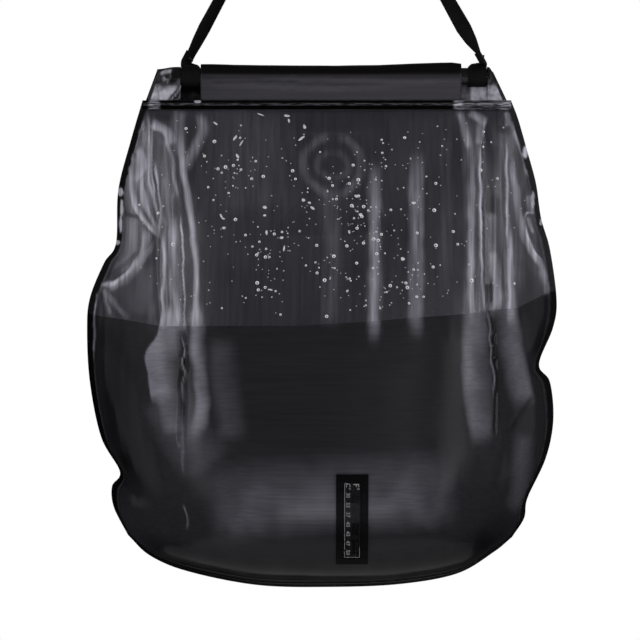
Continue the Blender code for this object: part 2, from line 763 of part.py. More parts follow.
def make_fill_port(flange_material, hard_material, rubber_material, bag, swivel, cap, centre):
    bore = neck_radius - neck_wall
    flange_bore = neck_radius + face_gap
    boss = flange_bore + port_boss_width
    bottom, top = face_gap, face_gap + port_flange_thickness
    boss_top = face_gap + port_boss_height
    profile = [(flange_bore, bottom), (port_flange_radius, bottom), (port_flange_radius, top),
               (boss, top), (boss, boss_top), (flange_bore, boss_top)]
    turned("fill_flange", profile, flange_material, bag, centre, count=36)

    lip = neck_radius + neck_lip_width
    lip_low = film_inside - neck_lip_thickness
    rows = thread_rows(neck_radius, thread_start, thread_end)
    profile = [(bore, lip_low), (lip, lip_low), (lip, film_inside), (neck_radius, film_inside), *rows,
               (neck_radius, neck_length), (bore, neck_length)]

    def neck_wave(i, along, angle):
        if 4 <= i < 4 + len(rows):
            return thread_height * ridge(along, angle, thread_start, thread_end, 0.0)
        return 0.0

    turned("fill_neck", profile, hard_material, bag, centre, wave=neck_wave)

    profile = [(collar_bore, collar_low), (collar_radius, collar_low), (collar_radius, collar_high),
               (collar_bore, collar_high)]
    turned("leash_collar", profile, rubber_material, bag, centre)

    cap_rows = thread_rows(cap_bore, thread_start, thread_end)[::-1]
    edge = knurl_depth * 2
    hole = button_stem_radius + running_gap
    outside = [(cap_radius - knurl_depth, cap_low), (cap_radius, cap_low + edge)]
    top = [(cap_radius, cap_top - edge), (cap_radius - edge, cap_top)]
    inside = [(hole, cap_top), (hole, cap_ceiling), (cap_bore, cap_ceiling)]
    profile = [*outside, *top, *inside, *cap_rows, (cap_bore, cap_low)]

    def cap_wave(i, along, angle):
        if i in (1, 2):
            return -knurl_depth * (0.5 + 0.5 * math.cos(angle * cap_rib_count))
        if 7 <= i < 7 + len(cap_rows):
            return -thread_height * ridge(along, angle, thread_start, thread_end, thread_mesh_share)
        return 0.0

    turned("fill_cap", profile, hard_material, cap, centre, count=cap_rib_count * 2, wave=cap_wave)

    low, high = neck_length + face_gap, neck_length + face_gap + gasket_thickness
    outer = neck_radius + thread_height / 2
    profile = [(bore, low), (outer, low), (outer, high), (bore, high)]
    turned("cap_gasket", profile, rubber_material, cap, centre)

    head = button_stem_radius + button_head_width
    inner = cap_ceiling - face_gap
    profile = [(0.0, inner - button_head_thickness), (head, inner - button_head_thickness), (head, inner),
               (button_stem_radius, inner), (button_stem_radius, button_top), (head, button_top),
               (head, button_top + button_head_thickness), (0.0, button_top + button_head_thickness)]
    turned("leash_button", profile, hard_material, swivel, centre, count=20)
    make_leash(rubber_material, bag, centre)


def make_leash(material, carrier, centre):
    """A moulded strip from the collar, round the cap's side, to an eye held by the button."""
    eye_bore = button_stem_radius + running_gap
    half = leash_thickness / 2
    eye_radius = button_stem_radius + button_head_width
    outside = cap_radius + leash_reach
    low, high = leash_high - half, leash_high + half
    profile = [(eye_bore, low), (eye_radius, low), (eye_radius, high), (eye_bore, high)]
    eye = turned("leash_eye", profile, material, carrier, centre, count=20)
    hide_helper(eye)
    middle_y = (leash_low + leash_high) / 2
    near_share, far_share = leash_over_cap_shares
    bends = [
        (leash_high, (eye_bore + eye_radius) / 2),
        (leash_high, cap_radius * near_share),
        (leash_high, cap_radius * far_share),
        (leash_high - leash_thickness, cap_radius + leash_reach * leash_shoulder_share),
        (middle_y + leash_thickness, outside),
        (middle_y - leash_thickness * 2, outside),
        (leash_low + leash_thickness * leash_heel_rise_share, cap_radius + leash_reach * leash_heel_share),
        (leash_low, collar_radius + face_gap),
    ]
    path = smooth_path([(0.0, y, -out) for y, out in bends], steps=3)
    points = []
    for i, place in enumerate(path):
        tangent = (path[min(i + 1, len(path) - 1)] - path[max(i - 1, 0)]).normalized()
        normal = tangent.cross(Vector((1.0, 0.0, 0.0)))
        for across, through in ((-1, -1), (1, -1), (1, 1), (-1, 1)):
            corner = place + Vector((across * leash_width / 2, 0.0, 0.0)) + normal * (through * half)
            points.append(corner + centre)
    faces = [(0, 1, 2, 3), tuple(len(points) - 1 - i for i in range(4))]
    for i in range(len(path) - 1):
        for k in range(4):
            n = (k + 1) % 4
            faces.append((4 * i + k, 4 * i + n, 4 * i + 4 + n, 4 * i + 4 + k))
    leash = add_piece("cap_leash", points, faces, material, carrier)
    add_boolean(leash, eye, "UNION")


def make_outlet(flange_material, hard_material, rubber_material, bag, cap, centre):
    flange_bore = spigot_root_radius + face_gap
    boss = flange_bore + outlet_boss_width
    bottom, top = face_gap, face_gap + outlet_flange_thickness
    boss_top = face_gap + outlet_boss_height
    profile = [(flange_bore, bottom), (outlet_flange_radius, bottom), (outlet_flange_radius, top),
               (boss, top), (boss, boss_top), (flange_bore, boss_top)]
    turned("outlet_flange", profile, flange_material, bag, centre)

    lip = spigot_root_radius + spigot_lip_width
    lip_low = film_inside - spigot_lip_thickness
    profile = [(spigot_bore_radius, lip_low), (lip, lip_low), (lip, film_inside)]
    profile += [(spigot_root_radius, film_inside), (spigot_root_radius, outlet_cap_low)]
    profile.append((spigot_radius, outlet_cap_low))
    first_barb = spigot_length - barb_length * barb_count - barb_height
    for i in range(barb_count):
        start = first_barb + barb_length * i
        profile += [(spigot_radius, start), (spigot_radius + barb_height, start + barb_height)]
    profile += [(spigot_radius, first_barb + barb_length * barb_count), (spigot_radius, spigot_length),
                (spigot_bore_radius, spigot_length)]
    turned("outlet_spigot", profile, hard_material, bag, centre, count=24)

    grip = outlet_cap_radius + outlet_grip_width
    profile = [(0.0, outlet_cap_top), (grip, outlet_cap_top), (grip, outlet_cap_top - outlet_grip_length),
               (outlet_cap_radius, outlet_cap_top - outlet_grip_length), (outlet_cap_radius, outlet_cap_low),
               (outlet_cap_bore, outlet_cap_low), (outlet_cap_bore, outlet_ceiling), (0.0, outlet_ceiling)]
    turned("outlet_cap", profile, rubber_material, cap, centre, count=24)
    low, high = spigot_length + face_gap, spigot_length + face_gap + outlet_seal_thickness
    seal = outlet_cap_bore - face_gap
    profile = [(0.0, low), (seal, low), (seal, high), (0.0, high)]
    turned("outlet_seal", profile, rubber_material, cap, centre, count=24)


def cut_hole(sheet, name, radius, carrier, centre):
    profile = [(0.0, -cut_overrun), (radius, -cut_overrun), (radius, cut_overrun), (0.0, cut_overrun)]
    cutter = turned(name, profile, None, carrier, centre)
    hide_helper(cutter)
    add_boolean(sheet, cutter, "DIFFERENCE")


def main():
    clear_scene()
    clear_film = make_material("clear PVC film", (0.10, 0.10, 0.12), 0.12, alpha=0.35)
    black_film = make_material("black PVC film", (0.012, 0.012, 0.014), 0.3)
    webbing = make_material("black polyester webbing", (0.01, 0.01, 0.011), 0.85)
    thread = make_material("black sewing thread", (0.015, 0.015, 0.016), 0.7)
    rod_plastic = make_material("black PVC tube", (0.012, 0.012, 0.013), 0.35)
    hard_plastic = make_material("moulded black polypropylene", (0.014, 0.014, 0.015), 0.4)
    soft_plastic = make_material("black soft PVC moulding", (0.018, 0.018, 0.019), 0.5)
    strip_print = make_material("liquid crystal strip", (0.02, 0.022, 0.024), 0.45)

    strap_body = make_carrier("strap_body", (0.0, 0.0, 0.0))
    rod_body = make_carrier("rod_body", (0.0, 0.0, rod_z))
    bag_body = make_carrier("bag_body", (0.0, 0.0, rod_z))
    outwards = Vector((0.0, film_thickness, 0.0))
    port = sheet_point(fitting_across_share, port_down_share, 1, back_depth) + outwards
    outlet = sheet_point(fitting_across_share, outlet_down_share, 1, back_depth) + outwards
    swivel_body = make_carrier("swivel_body", port)
    cap_body = make_carrier("cap_body", port)
    outlet_body = make_carrier("outlet_body", outlet)

    make_sheet("front_panel", -1, natural_depth, clear_film, bag_body)
    back = make_sheet("back_panel", 1, back_depth, black_film, bag_body)
    cut_hole(back, "port_cutter", neck_radius + face_gap, bag_body, port)
    cut_hole(back, "outlet_cutter", spigot_root_radius + face_gap, bag_body, outlet)
    make_hem_pieces(black_film, bag_body)
    make_hem_weld(black_film, bag_body)
    make_thermometer(soft_plastic, strip_print, clear_film, bag_body)
    make_rod(rod_plastic, hard_plastic, rod_body)
    make_strap(webbing, thread, strap_body)
    make_fill_port(soft_plastic, hard_plastic, soft_plastic, bag_body, swivel_body, cap_body, port)
    make_outlet(soft_plastic, hard_plastic, soft_plastic, bag_body, outlet_body, outlet)


main()
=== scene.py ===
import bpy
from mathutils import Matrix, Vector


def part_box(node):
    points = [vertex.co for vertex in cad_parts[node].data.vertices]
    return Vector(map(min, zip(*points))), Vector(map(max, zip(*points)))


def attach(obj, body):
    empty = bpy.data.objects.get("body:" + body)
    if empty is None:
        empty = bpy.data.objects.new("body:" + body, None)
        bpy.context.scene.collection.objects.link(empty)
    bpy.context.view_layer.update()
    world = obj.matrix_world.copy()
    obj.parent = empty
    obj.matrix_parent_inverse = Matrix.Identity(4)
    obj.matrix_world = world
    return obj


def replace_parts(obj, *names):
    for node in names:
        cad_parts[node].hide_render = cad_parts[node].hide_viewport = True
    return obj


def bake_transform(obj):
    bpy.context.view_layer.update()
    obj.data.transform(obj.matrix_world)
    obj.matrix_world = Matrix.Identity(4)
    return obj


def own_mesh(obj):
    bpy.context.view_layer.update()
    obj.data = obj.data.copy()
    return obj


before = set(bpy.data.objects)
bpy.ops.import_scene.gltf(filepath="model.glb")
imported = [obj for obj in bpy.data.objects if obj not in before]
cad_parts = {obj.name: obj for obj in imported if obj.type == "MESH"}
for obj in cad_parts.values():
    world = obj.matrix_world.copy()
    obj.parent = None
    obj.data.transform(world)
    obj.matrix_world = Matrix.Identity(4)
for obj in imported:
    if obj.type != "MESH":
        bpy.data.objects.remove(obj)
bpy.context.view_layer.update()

import math

import bmesh
import bpy
import numpy as np
from mathutils import Matrix, Vector, noise
from mathutils.bvhtree import BVHTree


# The studio: a camera square on to the bag's front, a pale floor under the hanging bag, and plain soft
# light from tall strips and softboxes in front and at the sides, which the film shows as upright bands.
# The white behind the bag is the world's, which sheen and see-through film show too.
view_width = 0.704          # of the picture, at the rod
view_units = 640
camera_distance = 2.6
view_centre = Vector((-0.0121, 0.0, -0.5698))
floor_y, floor_z = 0.1, -2.3
floor_radius, floor_sides = 1.3, 96
lamp_colour = (0.93, 0.92, 1.0)     # a little cool
# Name, degrees to the right of the front, height, distance, width, length and radiance.
lamps = (
    ("strip_left", -40.0, -0.25, 1.7, 0.17, 2.0, 5.0),
    ("strip_right", 42.0, -0.25, 1.7, 0.17, 2.0, 5.0),
    ("strip_middle", 19.5, -0.30, 2.2, 0.15, 1.4, 2.0),
    ("strip_centre", 8.0, -0.30, 2.4, 0.12, 1.4, 0.8),
    ("softbox_left", -58.0, -0.35, 1.5, 0.35, 1.7, 0.4),
    ("softbox_far_left", -82.0, -0.35, 1.5, 0.65, 1.7, 0.7),
    ("softbox_right", 60.0, -0.35, 1.5, 0.35, 1.7, 0.4),
    ("softbox_far_right", 84.0, -0.35, 1.5, 0.65, 1.7, 0.7),
    ("softbox_low", 5.0, -1.28, 1.25, 0.6, 0.30, 5.0),
)


def linear(hex_colour):
    """An sRGB hex colour as the linear RGBA that Blender's sockets take."""
    shares = [int(hex_colour[i:i + 2], 16) / 255 for i in (1, 3, 5)]
    return (*[s / 12.92 if s <= 0.04045 else ((s + 0.055) / 1.055) ** 2.4 for s in shares], 1.0)


def set_inputs(tree, node, **inputs):
    """Sets inputs by name or _number: to a value, or linked to a socket or a node's first output in use."""
    for name, value in inputs.items():
        socket = node.inputs[int(name[1:]) if name[0] == "_" else name.replace("_", " ")]
        if isinstance(value, bpy.types.Node):
            value = next(output for output in value.outputs if output.enabled)
        if isinstance(value, bpy.types.NodeSocket):
            tree.links.new(value, socket)
        else:
            socket.default_value = value


def add_node(tree, kind, settings=None, **inputs):
    """A node with its settings and its inputs."""
    node = tree.nodes.new(kind)
    for name, value in (settings or {}).items():
        setattr(node, name, value)
    set_inputs(tree, node, **inputs)
    return node


def new_material(name, **constants):
    """A material, its tree and its shader, with constants on the shader's own sockets."""
    material = bpy.data.materials.new(name)
    material.use_nodes = True
    shader = material.node_tree.nodes["Principled BSDF"]
    set_inputs(material.node_tree, shader, **constants)
    return material, material.node_tree, shader


def into_scene(name, data):
    thing = bpy.data.objects.new(name, data)
    bpy.context.scene.collection.objects.link(thing)
    return thing


def mesh_piece(name, work, *materials):
    """An object from a bmesh, which is freed, with its materials."""
    mesh = bpy.data.meshes.new(name)
    work.to_mesh(mesh)
    work.free()
    for material in materials:
        mesh.materials.append(material)
    return into_scene(name, mesh)


camera_data = bpy.data.cameras.new("camera")
camera_data.sensor_width = 36.0
camera_data.lens = camera_data.sensor_width * camera_distance / view_width
camera = into_scene("camera", camera_data)
camera.location = view_centre - Vector((0.0, camera_distance, 0.0))
camera.rotation_euler = (math.radians(90.0), 0.0, 0.0)
bpy.context.scene.camera = camera
bpy.context.scene.view_settings.view_transform = "Standard"

for name, azimuth, height, distance, width, tall, radiance in lamps:
    lamp_data = bpy.data.lights.new(name, "AREA")
    lamp_data.shape = "RECTANGLE"
    lamp_data.size, lamp_data.size_y = width, tall
    lamp_data.energy = radiance * math.pi * width * tall
    lamp_data.color = lamp_colour
    lamp = into_scene(name, lamp_data)
    lamp.visible_camera = False
    turn = math.radians(azimuth)
    lamp.location = Vector((math.sin(turn) * distance, -math.cos(turn) * distance, height))
    aim = view_centre - lamp.location
    lamp.rotation_euler = aim.to_track_quat("-Z", "Y").to_euler()

# The world: white to the camera, an even half grey to plain light, and to sheen and film a dark room
# with a white backdrop behind the bag.
world = bpy.data.worlds.new("studio")
world.use_nodes = True
bpy.context.scene.world = world
tree = world.node_tree
tree.nodes.clear()
ray = add_node(tree, "ShaderNodeLightPath").outputs
direction = add_node(tree, "ShaderNodeTexCoord").outputs["Generated"]
way = add_node(tree, "ShaderNodeSeparateXYZ", _0=direction).outputs
room = add_node(tree, "ShaderNodeMapRange", _0=way["Z"], _1=0.05, _2=0.60, _3=0.03, _4=0.11)
backdrop = add_node(tree, "ShaderNodeMapRange", _0=way["Y"], _1=0.93, _2=0.985, _3=room, _4=1.0)
by_gloss = add_node(tree, "ShaderNodeMath", {"operation": "MAXIMUM"}, _0=ray["Is Glossy Ray"],
                    _1=ray["Is Transmission Ray"])
soft = add_node(tree, "ShaderNodeMix", {"data_type": "FLOAT"}, _0=by_gloss, _2=0.5, _3=backdrop)
level = add_node(tree, "ShaderNodeMix", {"data_type": "FLOAT"}, _0=ray["Is Camera Ray"], _2=soft, _3=1.0)
background = add_node(tree, "ShaderNodeBackground", Color=linear("#ffffff"), Strength=level)
add_node(tree, "ShaderNodeOutputWorld", Surface=background)

# Matt painted floor: an even pale grey that takes the bag's soft shadow.
floor_paint = new_material("matt_pale_floor_paint", Base_Color=linear("#e9e8e6"), Roughness=0.9)[0]
floor_work = bmesh.new()
bmesh.ops.create_circle(floor_work, cap_ends=True, segments=floor_sides, radius=floor_radius,
                        matrix=Matrix.Translation((0.0, floor_y, floor_z)))
floor = mesh_piece("floor", floor_work, floor_paint)


# Back sheet: black PVC, 0.6 mm thick, cut to the bag's outline and welded all round to the clear one.
# It bulges less wrinkled than the front, is pulled flat where the fill port and the outlet are welded
# in, and shows the port's flange as a pressed ring.
bag_width = 0.517
bag_height = 0.535
bag_depth = 0.190
film_thickness = 0.0006
weld_width = 0.009
hem_weld_height = 0.0115
sheet_gap = 0.0003
rod_z = -0.302
hem_z = rod_z - 0.0264
left_edge_shares = (
    (-0.401, 0.0), (-0.4255, 0.081), (-0.4526, 0.184), (-0.4575, 0.293), (-0.483, 0.334),
    (-0.513, 0.406), (-0.519, 0.472), (-0.513, 0.579), (-0.489, 0.692), (-0.449, 0.763),
    (-0.466, 0.793), (-0.462, 0.836), (-0.432, 0.893),
)
right_edge_shares = (
    (0.383, 0.0), (0.398, 0.038), (0.417, 0.102), (0.436, 0.170), (0.447, 0.242), (0.466, 0.307),
    (0.480, 0.410), (0.472, 0.468), (0.4426, 0.542), (0.466, 0.579), (0.473, 0.657),
    (0.457, 0.735), (0.418, 0.817), (0.411, 0.858), (0.385, 0.8975),
)
bottom_edge_shares = (
    (-0.432, 0.893), (-0.385, 0.9355), (-0.304, 0.968), (-0.157, 0.996), (-0.002, 1.0),
    (0.147, 0.994), (0.268, 0.9725), (0.345, 0.929), (0.385, 0.8975),
)
side_power, side_root = 2.4, 0.75
rise_power, fall_power, fall_root = 0.75, 6.0, 0.5
evening_share, nick_fade_share = 0.1, 0.16
fitting_across_share, fitting_half_across_share = 0.51, 0.0765
port_down_share, port_half_down_share = 0.1346, 0.0646
pads = ((port_down_share, port_half_down_share), (0.76, 0.05))
pad_fade_share = 0.07
port_x, port_z = 0.0006866, -0.4009506
outlet_x, outlet_z = -0.000576, -0.7393848
back_columns, back_rows = 170, 176
port_flat_radius, outlet_flat_radius, flat_fade = 0.038, 0.030, 0.02
port_hole_radius, outlet_hole_radius = 0.0178, 0.0078
pressed_rings = ((0.0325, 0.0009), (0.0175, 0.0005))     # radius and height of the flange's edges
ring_width = 0.0012
# Crumples: size, scale along x, y and z, seed, height, and the power that keeps them to the sides.
back_crumples = ((0.030, (1, 1, 0.30), 3.0, 0.0030, 2), (0.012, (1, 1, 0.25), 8.0, 0.0012, 3),
                 (0.070, (1, 1, 0.6), 5.0, 0.0020, 0))
highest_back_crumple = 0.0018
back_free_depths = (0.004, 0.03)        # of the bulge, between which the crumples set in


def smooth_path(points, steps=12):
    """A Catmull-Rom curve through the points, as many close points."""
    points = np.array(points, float)
    ends = np.vstack([points[0] * 2 - points[1], points, points[-1] * 2 - points[-2]])
    s = (np.arange(steps) / steps)[:, None]
    path = []
    for a, b, c, d in zip(ends, ends[1:], ends[2:], ends[3:]):
        square, cube = a * 2 - b * 5 + c * 4 - d, b * 3 - a - c * 3 + d
        path.append((b * 2 + (c - a) * s + square * s**2 + cube * s**3) / 2)
    return np.vstack([*path, points[-1:]])


def by_length(path):
    """A function from shares of the path's length to its points."""
    run = np.concatenate([[0.0], np.cumsum(np.linalg.norm(np.diff(path, axis=0), axis=1))])
    return lambda share: np.stack([np.interp(share, run / run[-1], axis) for axis in path.T], axis=-1)


def outline_curve(shares):
    return by_length(smooth_path([(x * bag_width, hem_z - z * bag_height) for x, z in shares]))


left_edge = outline_curve(left_edge_shares)
right_edge = outline_curve(right_edge_shares)
bottom_edge = outline_curve(bottom_edge_shares)


def evened(edge, down):
    """The edge's places with its nicks averaged out."""
    reach = np.minimum(np.minimum(evening_share, down), 1.0 - down)
    return sum(edge(down + reach * step / 4) for step in range(-4, 5)) / 9


def on_outline(across, down):
    """The flat (x, z) places of a lattice of the sheets, blended from the four edges."""
    a, d = across[..., None], down[..., None]
    top = left_edge(0.0) * (1 - a) + right_edge(0.0) * a
    rows = top * (1 - d) + bottom_edge(across) * d
    even_left, even_right = evened(left_edge, down), evened(right_edge, down)
    columns = even_left * (1 - a) + even_right * a
    corners = top * (1 - d) + (left_edge(1.0) * (1 - a) + right_edge(1.0) * a) * d
    left_nick = (left_edge(down) - even_left) * np.maximum(0, 1 - a / nick_fade_share) ** 2
    right_nick = (right_edge(down) - even_right) * np.maximum(0, 1 - (1 - a) / nick_fade_share) ** 2
    return rows + columns - corners + left_nick + right_nick


def rise_at(down):
    return down**rise_power * (1.0 - down**fall_power) ** fall_root


fullest_rise = rise_at(np.linspace(0, 1, 101)).max()


def natural_depth(across, down):
    """How far a sheet stands out from the weld's plane, over a lattice."""
    edge = weld_width / bag_width
    top, foot = hem_weld_height / bag_height, weld_width / bag_height
    u = np.clip((across - edge) / (1 - 2 * edge), 0, 1)
    v = np.clip((down - top) / (1 - top - foot), 0, 1)
    side = (1.0 - np.abs(2.0 * u - 1.0) ** side_power) ** side_root
    return bag_depth / 2 * side * rise_at(v) / fullest_rise


def back_depth(across, down):
    """The back sheet's bulge, with a flat place under each welded fitting."""
    depth = natural_depth(across, down)
    edge_weight = np.clip((down - hem_weld_height / bag_height) / (port_half_down_share / 2), 0, 1)
    for pad_down, half_down in pads:
        aside = np.abs(across - fitting_across_share) - fitting_half_across_share
        beyond = np.maximum(aside, np.abs(down - pad_down) - half_down)
        weight = 1.0 - np.clip(beyond / pad_fade_share, 0, 1)
        pad_depth = natural_depth(fitting_across_share, pad_down)
        depth = depth + (pad_depth - depth) * weight * edge_weight
    return depth


def sheet_grid(across, down, side, depth):
    """A sheet's outer face as rows of (x, y, z) points."""
    place = on_outline(across, down)
    y = side * (sheet_gap / 2 + film_thickness + depth(across, down))
    return np.stack([place[..., 0], y, place[..., 1]], axis=-1)


def grid_normals(grid, side):
    """Unit normals of a grid's points that point to the given side in y."""
    downwards, sideways = np.gradient(grid, axis=0), np.gradient(grid, axis=1)
    normals = np.cross(sideways, downwards)
    normals /= np.maximum(np.linalg.norm(normals, axis=-1, keepdims=True), 1e-12)
    facing = np.sign(np.median(normals[..., 1])) * side
    return normals * facing


def grid_mesh(name, grid, side, material, dropped=None):
    """An object from a grid of points, without the dropped ones, its faces turned to the given side in y."""
    rows, columns = grid.shape[:2]
    points = grid.reshape(-1, 3)
    corner = (np.arange(rows - 1)[:, None] * columns + np.arange(columns - 1)).reshape(-1)
    faces = np.stack([corner, corner + 1, corner + columns + 1, corner + columns], axis=-1)
    if side > 0:
        faces = faces[:, ::-1]
    if dropped is not None:
        faces = faces[~dropped.reshape(-1)[faces].any(axis=1)]
        used, numbers = np.unique(faces, return_inverse=True)
        points, faces = points[used], numbers.reshape(faces.shape)
    mesh = bpy.data.meshes.new(name)
    mesh.from_pydata(points.tolist(), [], faces.tolist())
    mesh.shade_smooth()
    mesh.materials.append(material)
    return into_scene(name, mesh)


def paint(piece, name, shares):
    """Gives a piece an attribute with one share for each of its points."""
    piece.data.attributes.new(name, "FLOAT", "POINT").data.foreach_set("value", shares.reshape(-1))


def noise_over(grid, scale, stretch=(1.0, 1.0, 1.0), seed=0.0):
    """Smooth noise from -1 to 1 over a grid's points, with the given size in metres."""
    places = (grid * np.array(stretch) / scale + seed).reshape(-1, 3)
    return np.array([noise.noise(place) for place in places]).reshape(grid.shape[:-1])


def crumples(grid, kinds, side_share=1.0, seed=0.0, one_way=False):
    """Sum of several kinds of crumples over a grid's points, written as above, or all to one side."""
    total = 0.0
    for size, stretch, own_seed, height, power in kinds:
        wave = noise_over(grid, size, stretch, seed + own_seed)
        total = total + (np.abs(wave) if one_way else wave) * height * side_share**power
    return total


def eased(value, start, end):
    """0 up to the start and 1 from the end on, with a smooth step between."""
    share = np.clip((value - start) / (end - start), 0, 1)
    return share * share * (3 - 2 * share)


def noise_material(name, scale, dark, light, detail=2.0, dulls=None, bump=None, over=(0.3, 0.7), **constants):
    """A material, its tree, shader, noise and colour, from noise of one scale, or three where it is drawn.

    The noise mixes two colours, takes the roughness from the first of dulls to the second over a range
    of its own, and stands up as a bump of some strength and height.
    """
    material, tree, shader = new_material(name, **constants)
    place = add_node(tree, "ShaderNodeTexCoord").outputs["Object"]
    if isinstance(scale, tuple):
        place, scale = add_node(tree, "ShaderNodeMapping", Vector=place, Scale=scale), 1.0
    grain = add_node(tree, "ShaderNodeTexNoise", Vector=place, Scale=scale, Detail=detail)
    tint = add_node(tree, "ShaderNodeMix", {"data_type": "RGBA"}, _0=grain, _6=linear(dark), _7=linear(light))
    set_inputs(tree, shader, Base_Color=tint)
    if dulls:
        (start, end), (glossy, dull) = over, dulls
        dull = add_node(tree, "ShaderNodeMapRange", _0=grain, _1=start, _2=end, _3=glossy, _4=dull)
        set_inputs(tree, shader, Roughness=dull)
    if bump:
        skin = add_node(tree, "ShaderNodeBump", Height=grain, Strength=bump[0], Distance=bump[1])
        set_inputs(tree, shader, Normal=skin)
    return material, tree, shader, grain, tint


# Calendered black PVC sheet: near-black with a satin skin, fine leather-like emboss, and faint cloudy
# wear that dulls the gloss in patches.
black_sheet, tree, shader, _, _ = noise_material(
    "calendered_black_pvc_sheet", 28.0, "#070708", "#101012", 5.0, (0.27, 0.42))
place = add_node(tree, "ShaderNodeTexCoord").outputs["Object"]
grain = add_node(tree, "ShaderNodeTexVoronoi", Vector=place, Scale=620.0)
emboss = add_node(tree, "ShaderNodeBump", Height=grain, Strength=0.10, Distance=0.0002)
set_inputs(tree, shader, Normal=emboss)

across, down = np.meshgrid(np.linspace(0, 1, back_columns), np.linspace(0, 1, back_rows))
back_grid = sheet_grid(across, down, 1, back_depth)
from_port = np.hypot(back_grid[..., 0] - port_x, back_grid[..., 2] - port_z)
from_outlet = np.hypot(back_grid[..., 0] - outlet_x, back_grid[..., 2] - outlet_z)
from_fittings = np.minimum(from_port - port_flat_radius, from_outlet - outlet_flat_radius)
free = eased(back_depth(across, down), *back_free_depths) * eased(from_fittings, 0.0, flat_fade)
folds = np.minimum(crumples(back_grid, back_crumples, np.abs(across - 0.5) * 2), highest_back_crumple)
back_grid += grid_normals(back_grid, 1) * (folds * free)[..., None]
for radius, height in pressed_rings:
    back_grid[..., 1] -= np.exp(-((from_port - radius) / ring_width) ** 2) * height
holes = (from_port < port_hole_radius) | (from_outlet < outlet_hole_radius)
back_film = grid_mesh("back_film", back_grid, 1, black_sheet, holes)
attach(back_film, "bag")
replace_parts(back_film, "back_panel")


# Front sheet: clear PVC film, 0.6 mm thick. The water pulls it into a bulge and gathers it into long
# folds down both sides, because the welded outline is flat and can't grow. Below the water it lies
# wet against it and looks black; above it a haze and the sheen of the folds show.
# Folds: height in mm, reach to the left and to the right, then places, in the front view's units of
# 1.1 mm from a point 364.1 mm left of the strap and 217.8 mm above it.
unit = view_width / view_units
fold_lines = (
    (1.4, 5, 4, ((144.6, 115), (149, 136), (147.8, 168), (149, 188))),
    (1.7, 5, 6, ((153, 114), (151.7, 136), (153.6, 162), (158, 188), (160, 213), (158, 232))),
    (1.5, 6, 4, ((168, 136), (171.4, 162), (175, 188), (176.5, 200))),
    (1.3, 5, 5, ((155, 140), (161, 131), (168, 136))),
    (2.6, 6, 5, ((137, 149), (143, 160), (142, 182), (151, 207), (157, 231))),
    (2.0, 4, 5, ((130.6, 181), (128, 200), (137, 217), (155, 235))),
    (1.2, 11, 13, ((196, 112), (203, 130), (199, 150), (188, 166))),
    (0.7, 4, 5, ((163, 200), (165, 230), (164, 262), (166, 300), (165, 322))),
    (0.6, 3, 6, ((170, 185), (173, 215), (172, 250), (174, 290), (173, 325))),
    (0.5, 3, 4, ((177, 215), (180, 245), (180, 275), (182, 300), (182, 325))),
    (2.4, 6, 8, ((157, 232), (150, 246), (142.5, 252), (131, 270), (113, 284), (102, 283))),
    (1.2, 3, 4, ((99, 284), (95, 311), (93, 339))),
    (1.0, 3, 3, ((100, 286), (107, 318))),
    (1.0, 3, 4, ((105, 295), (118, 319))),
    (0.9, 4, 4, ((112, 290), (130, 325))),
    (1.5, 4, 4, ((158, 232), (157, 262), (159, 300), (161, 325))),
    (1.4, 12, 14, ((118, 258), (138, 258))),
    (-2.2, 5, 5, ((181, 322), (182, 344), (184.6, 365), (182, 385), (183, 403), (181, 430), (182, 452))),
    (1.8, 2.5, 2.5, ((182, 338), (185, 350), (182, 362), (185, 374), (182, 386), (184, 400))),
    (1.8, 14, 16, ((158, 328), (146, 356), (151, 378), (155, 402))),
    (1.4, 8, 9, ((462, 108), (474, 117), (486, 121))),
    (2.0, 7, 3, ((488, 121), (481.6, 136), (479.8, 175), (480.4, 207), (481.6, 260), (480, 300),
                 (481, 322))),
    (0.9, 5, 5, ((472, 130), (472, 180), (471, 230), (470, 300), (470, 322))),
    (-1.8, 3, 4, ((487, 122), (484, 132), (487, 143))),
    (1.5, 4, 5, ((506, 117), (506, 188), (508, 260), (508, 310))),
    (1.8, 5, 6, ((511, 130), (522, 156), (529, 175))),
    (1.8, 4, 5, ((514, 150), (518, 170), (526, 190), (531, 213))),
    (2.0, 3, 5, ((538, 195), (528, 208), (524, 222), (530, 240), (540, 252))),
    (1.2, 5, 5, ((495, 190), (495, 250), (494, 300))),
    (1.5, 5, 6, ((513, 225), (512, 260), (511, 305))),
    (-1.8, 4, 4, ((489, 284), (489, 303))),
    (-2.4, 5, 5, ((489, 305), (492, 330), (494, 361), (495, 393), (494, 450))),
    (1.8, 2.5, 2.5, ((490, 312), (494, 326), (492, 340), (496, 352), (493, 364), (496, 378), (494, 396))),
    (1.6, 13, 11, ((519, 312), (521, 350), (530, 394))),
    (-1.4, 3, 4, ((533, 394), (520, 414), (507, 432))),
    (0.8, 13, 13, ((330, 215), (331, 260), (330, 318))),
    (0.8, 12, 12, ((374, 205), (374, 260), (373, 318))),
    (0.8, 12, 12, ((417, 200), (417, 260), (416, 316))),
)
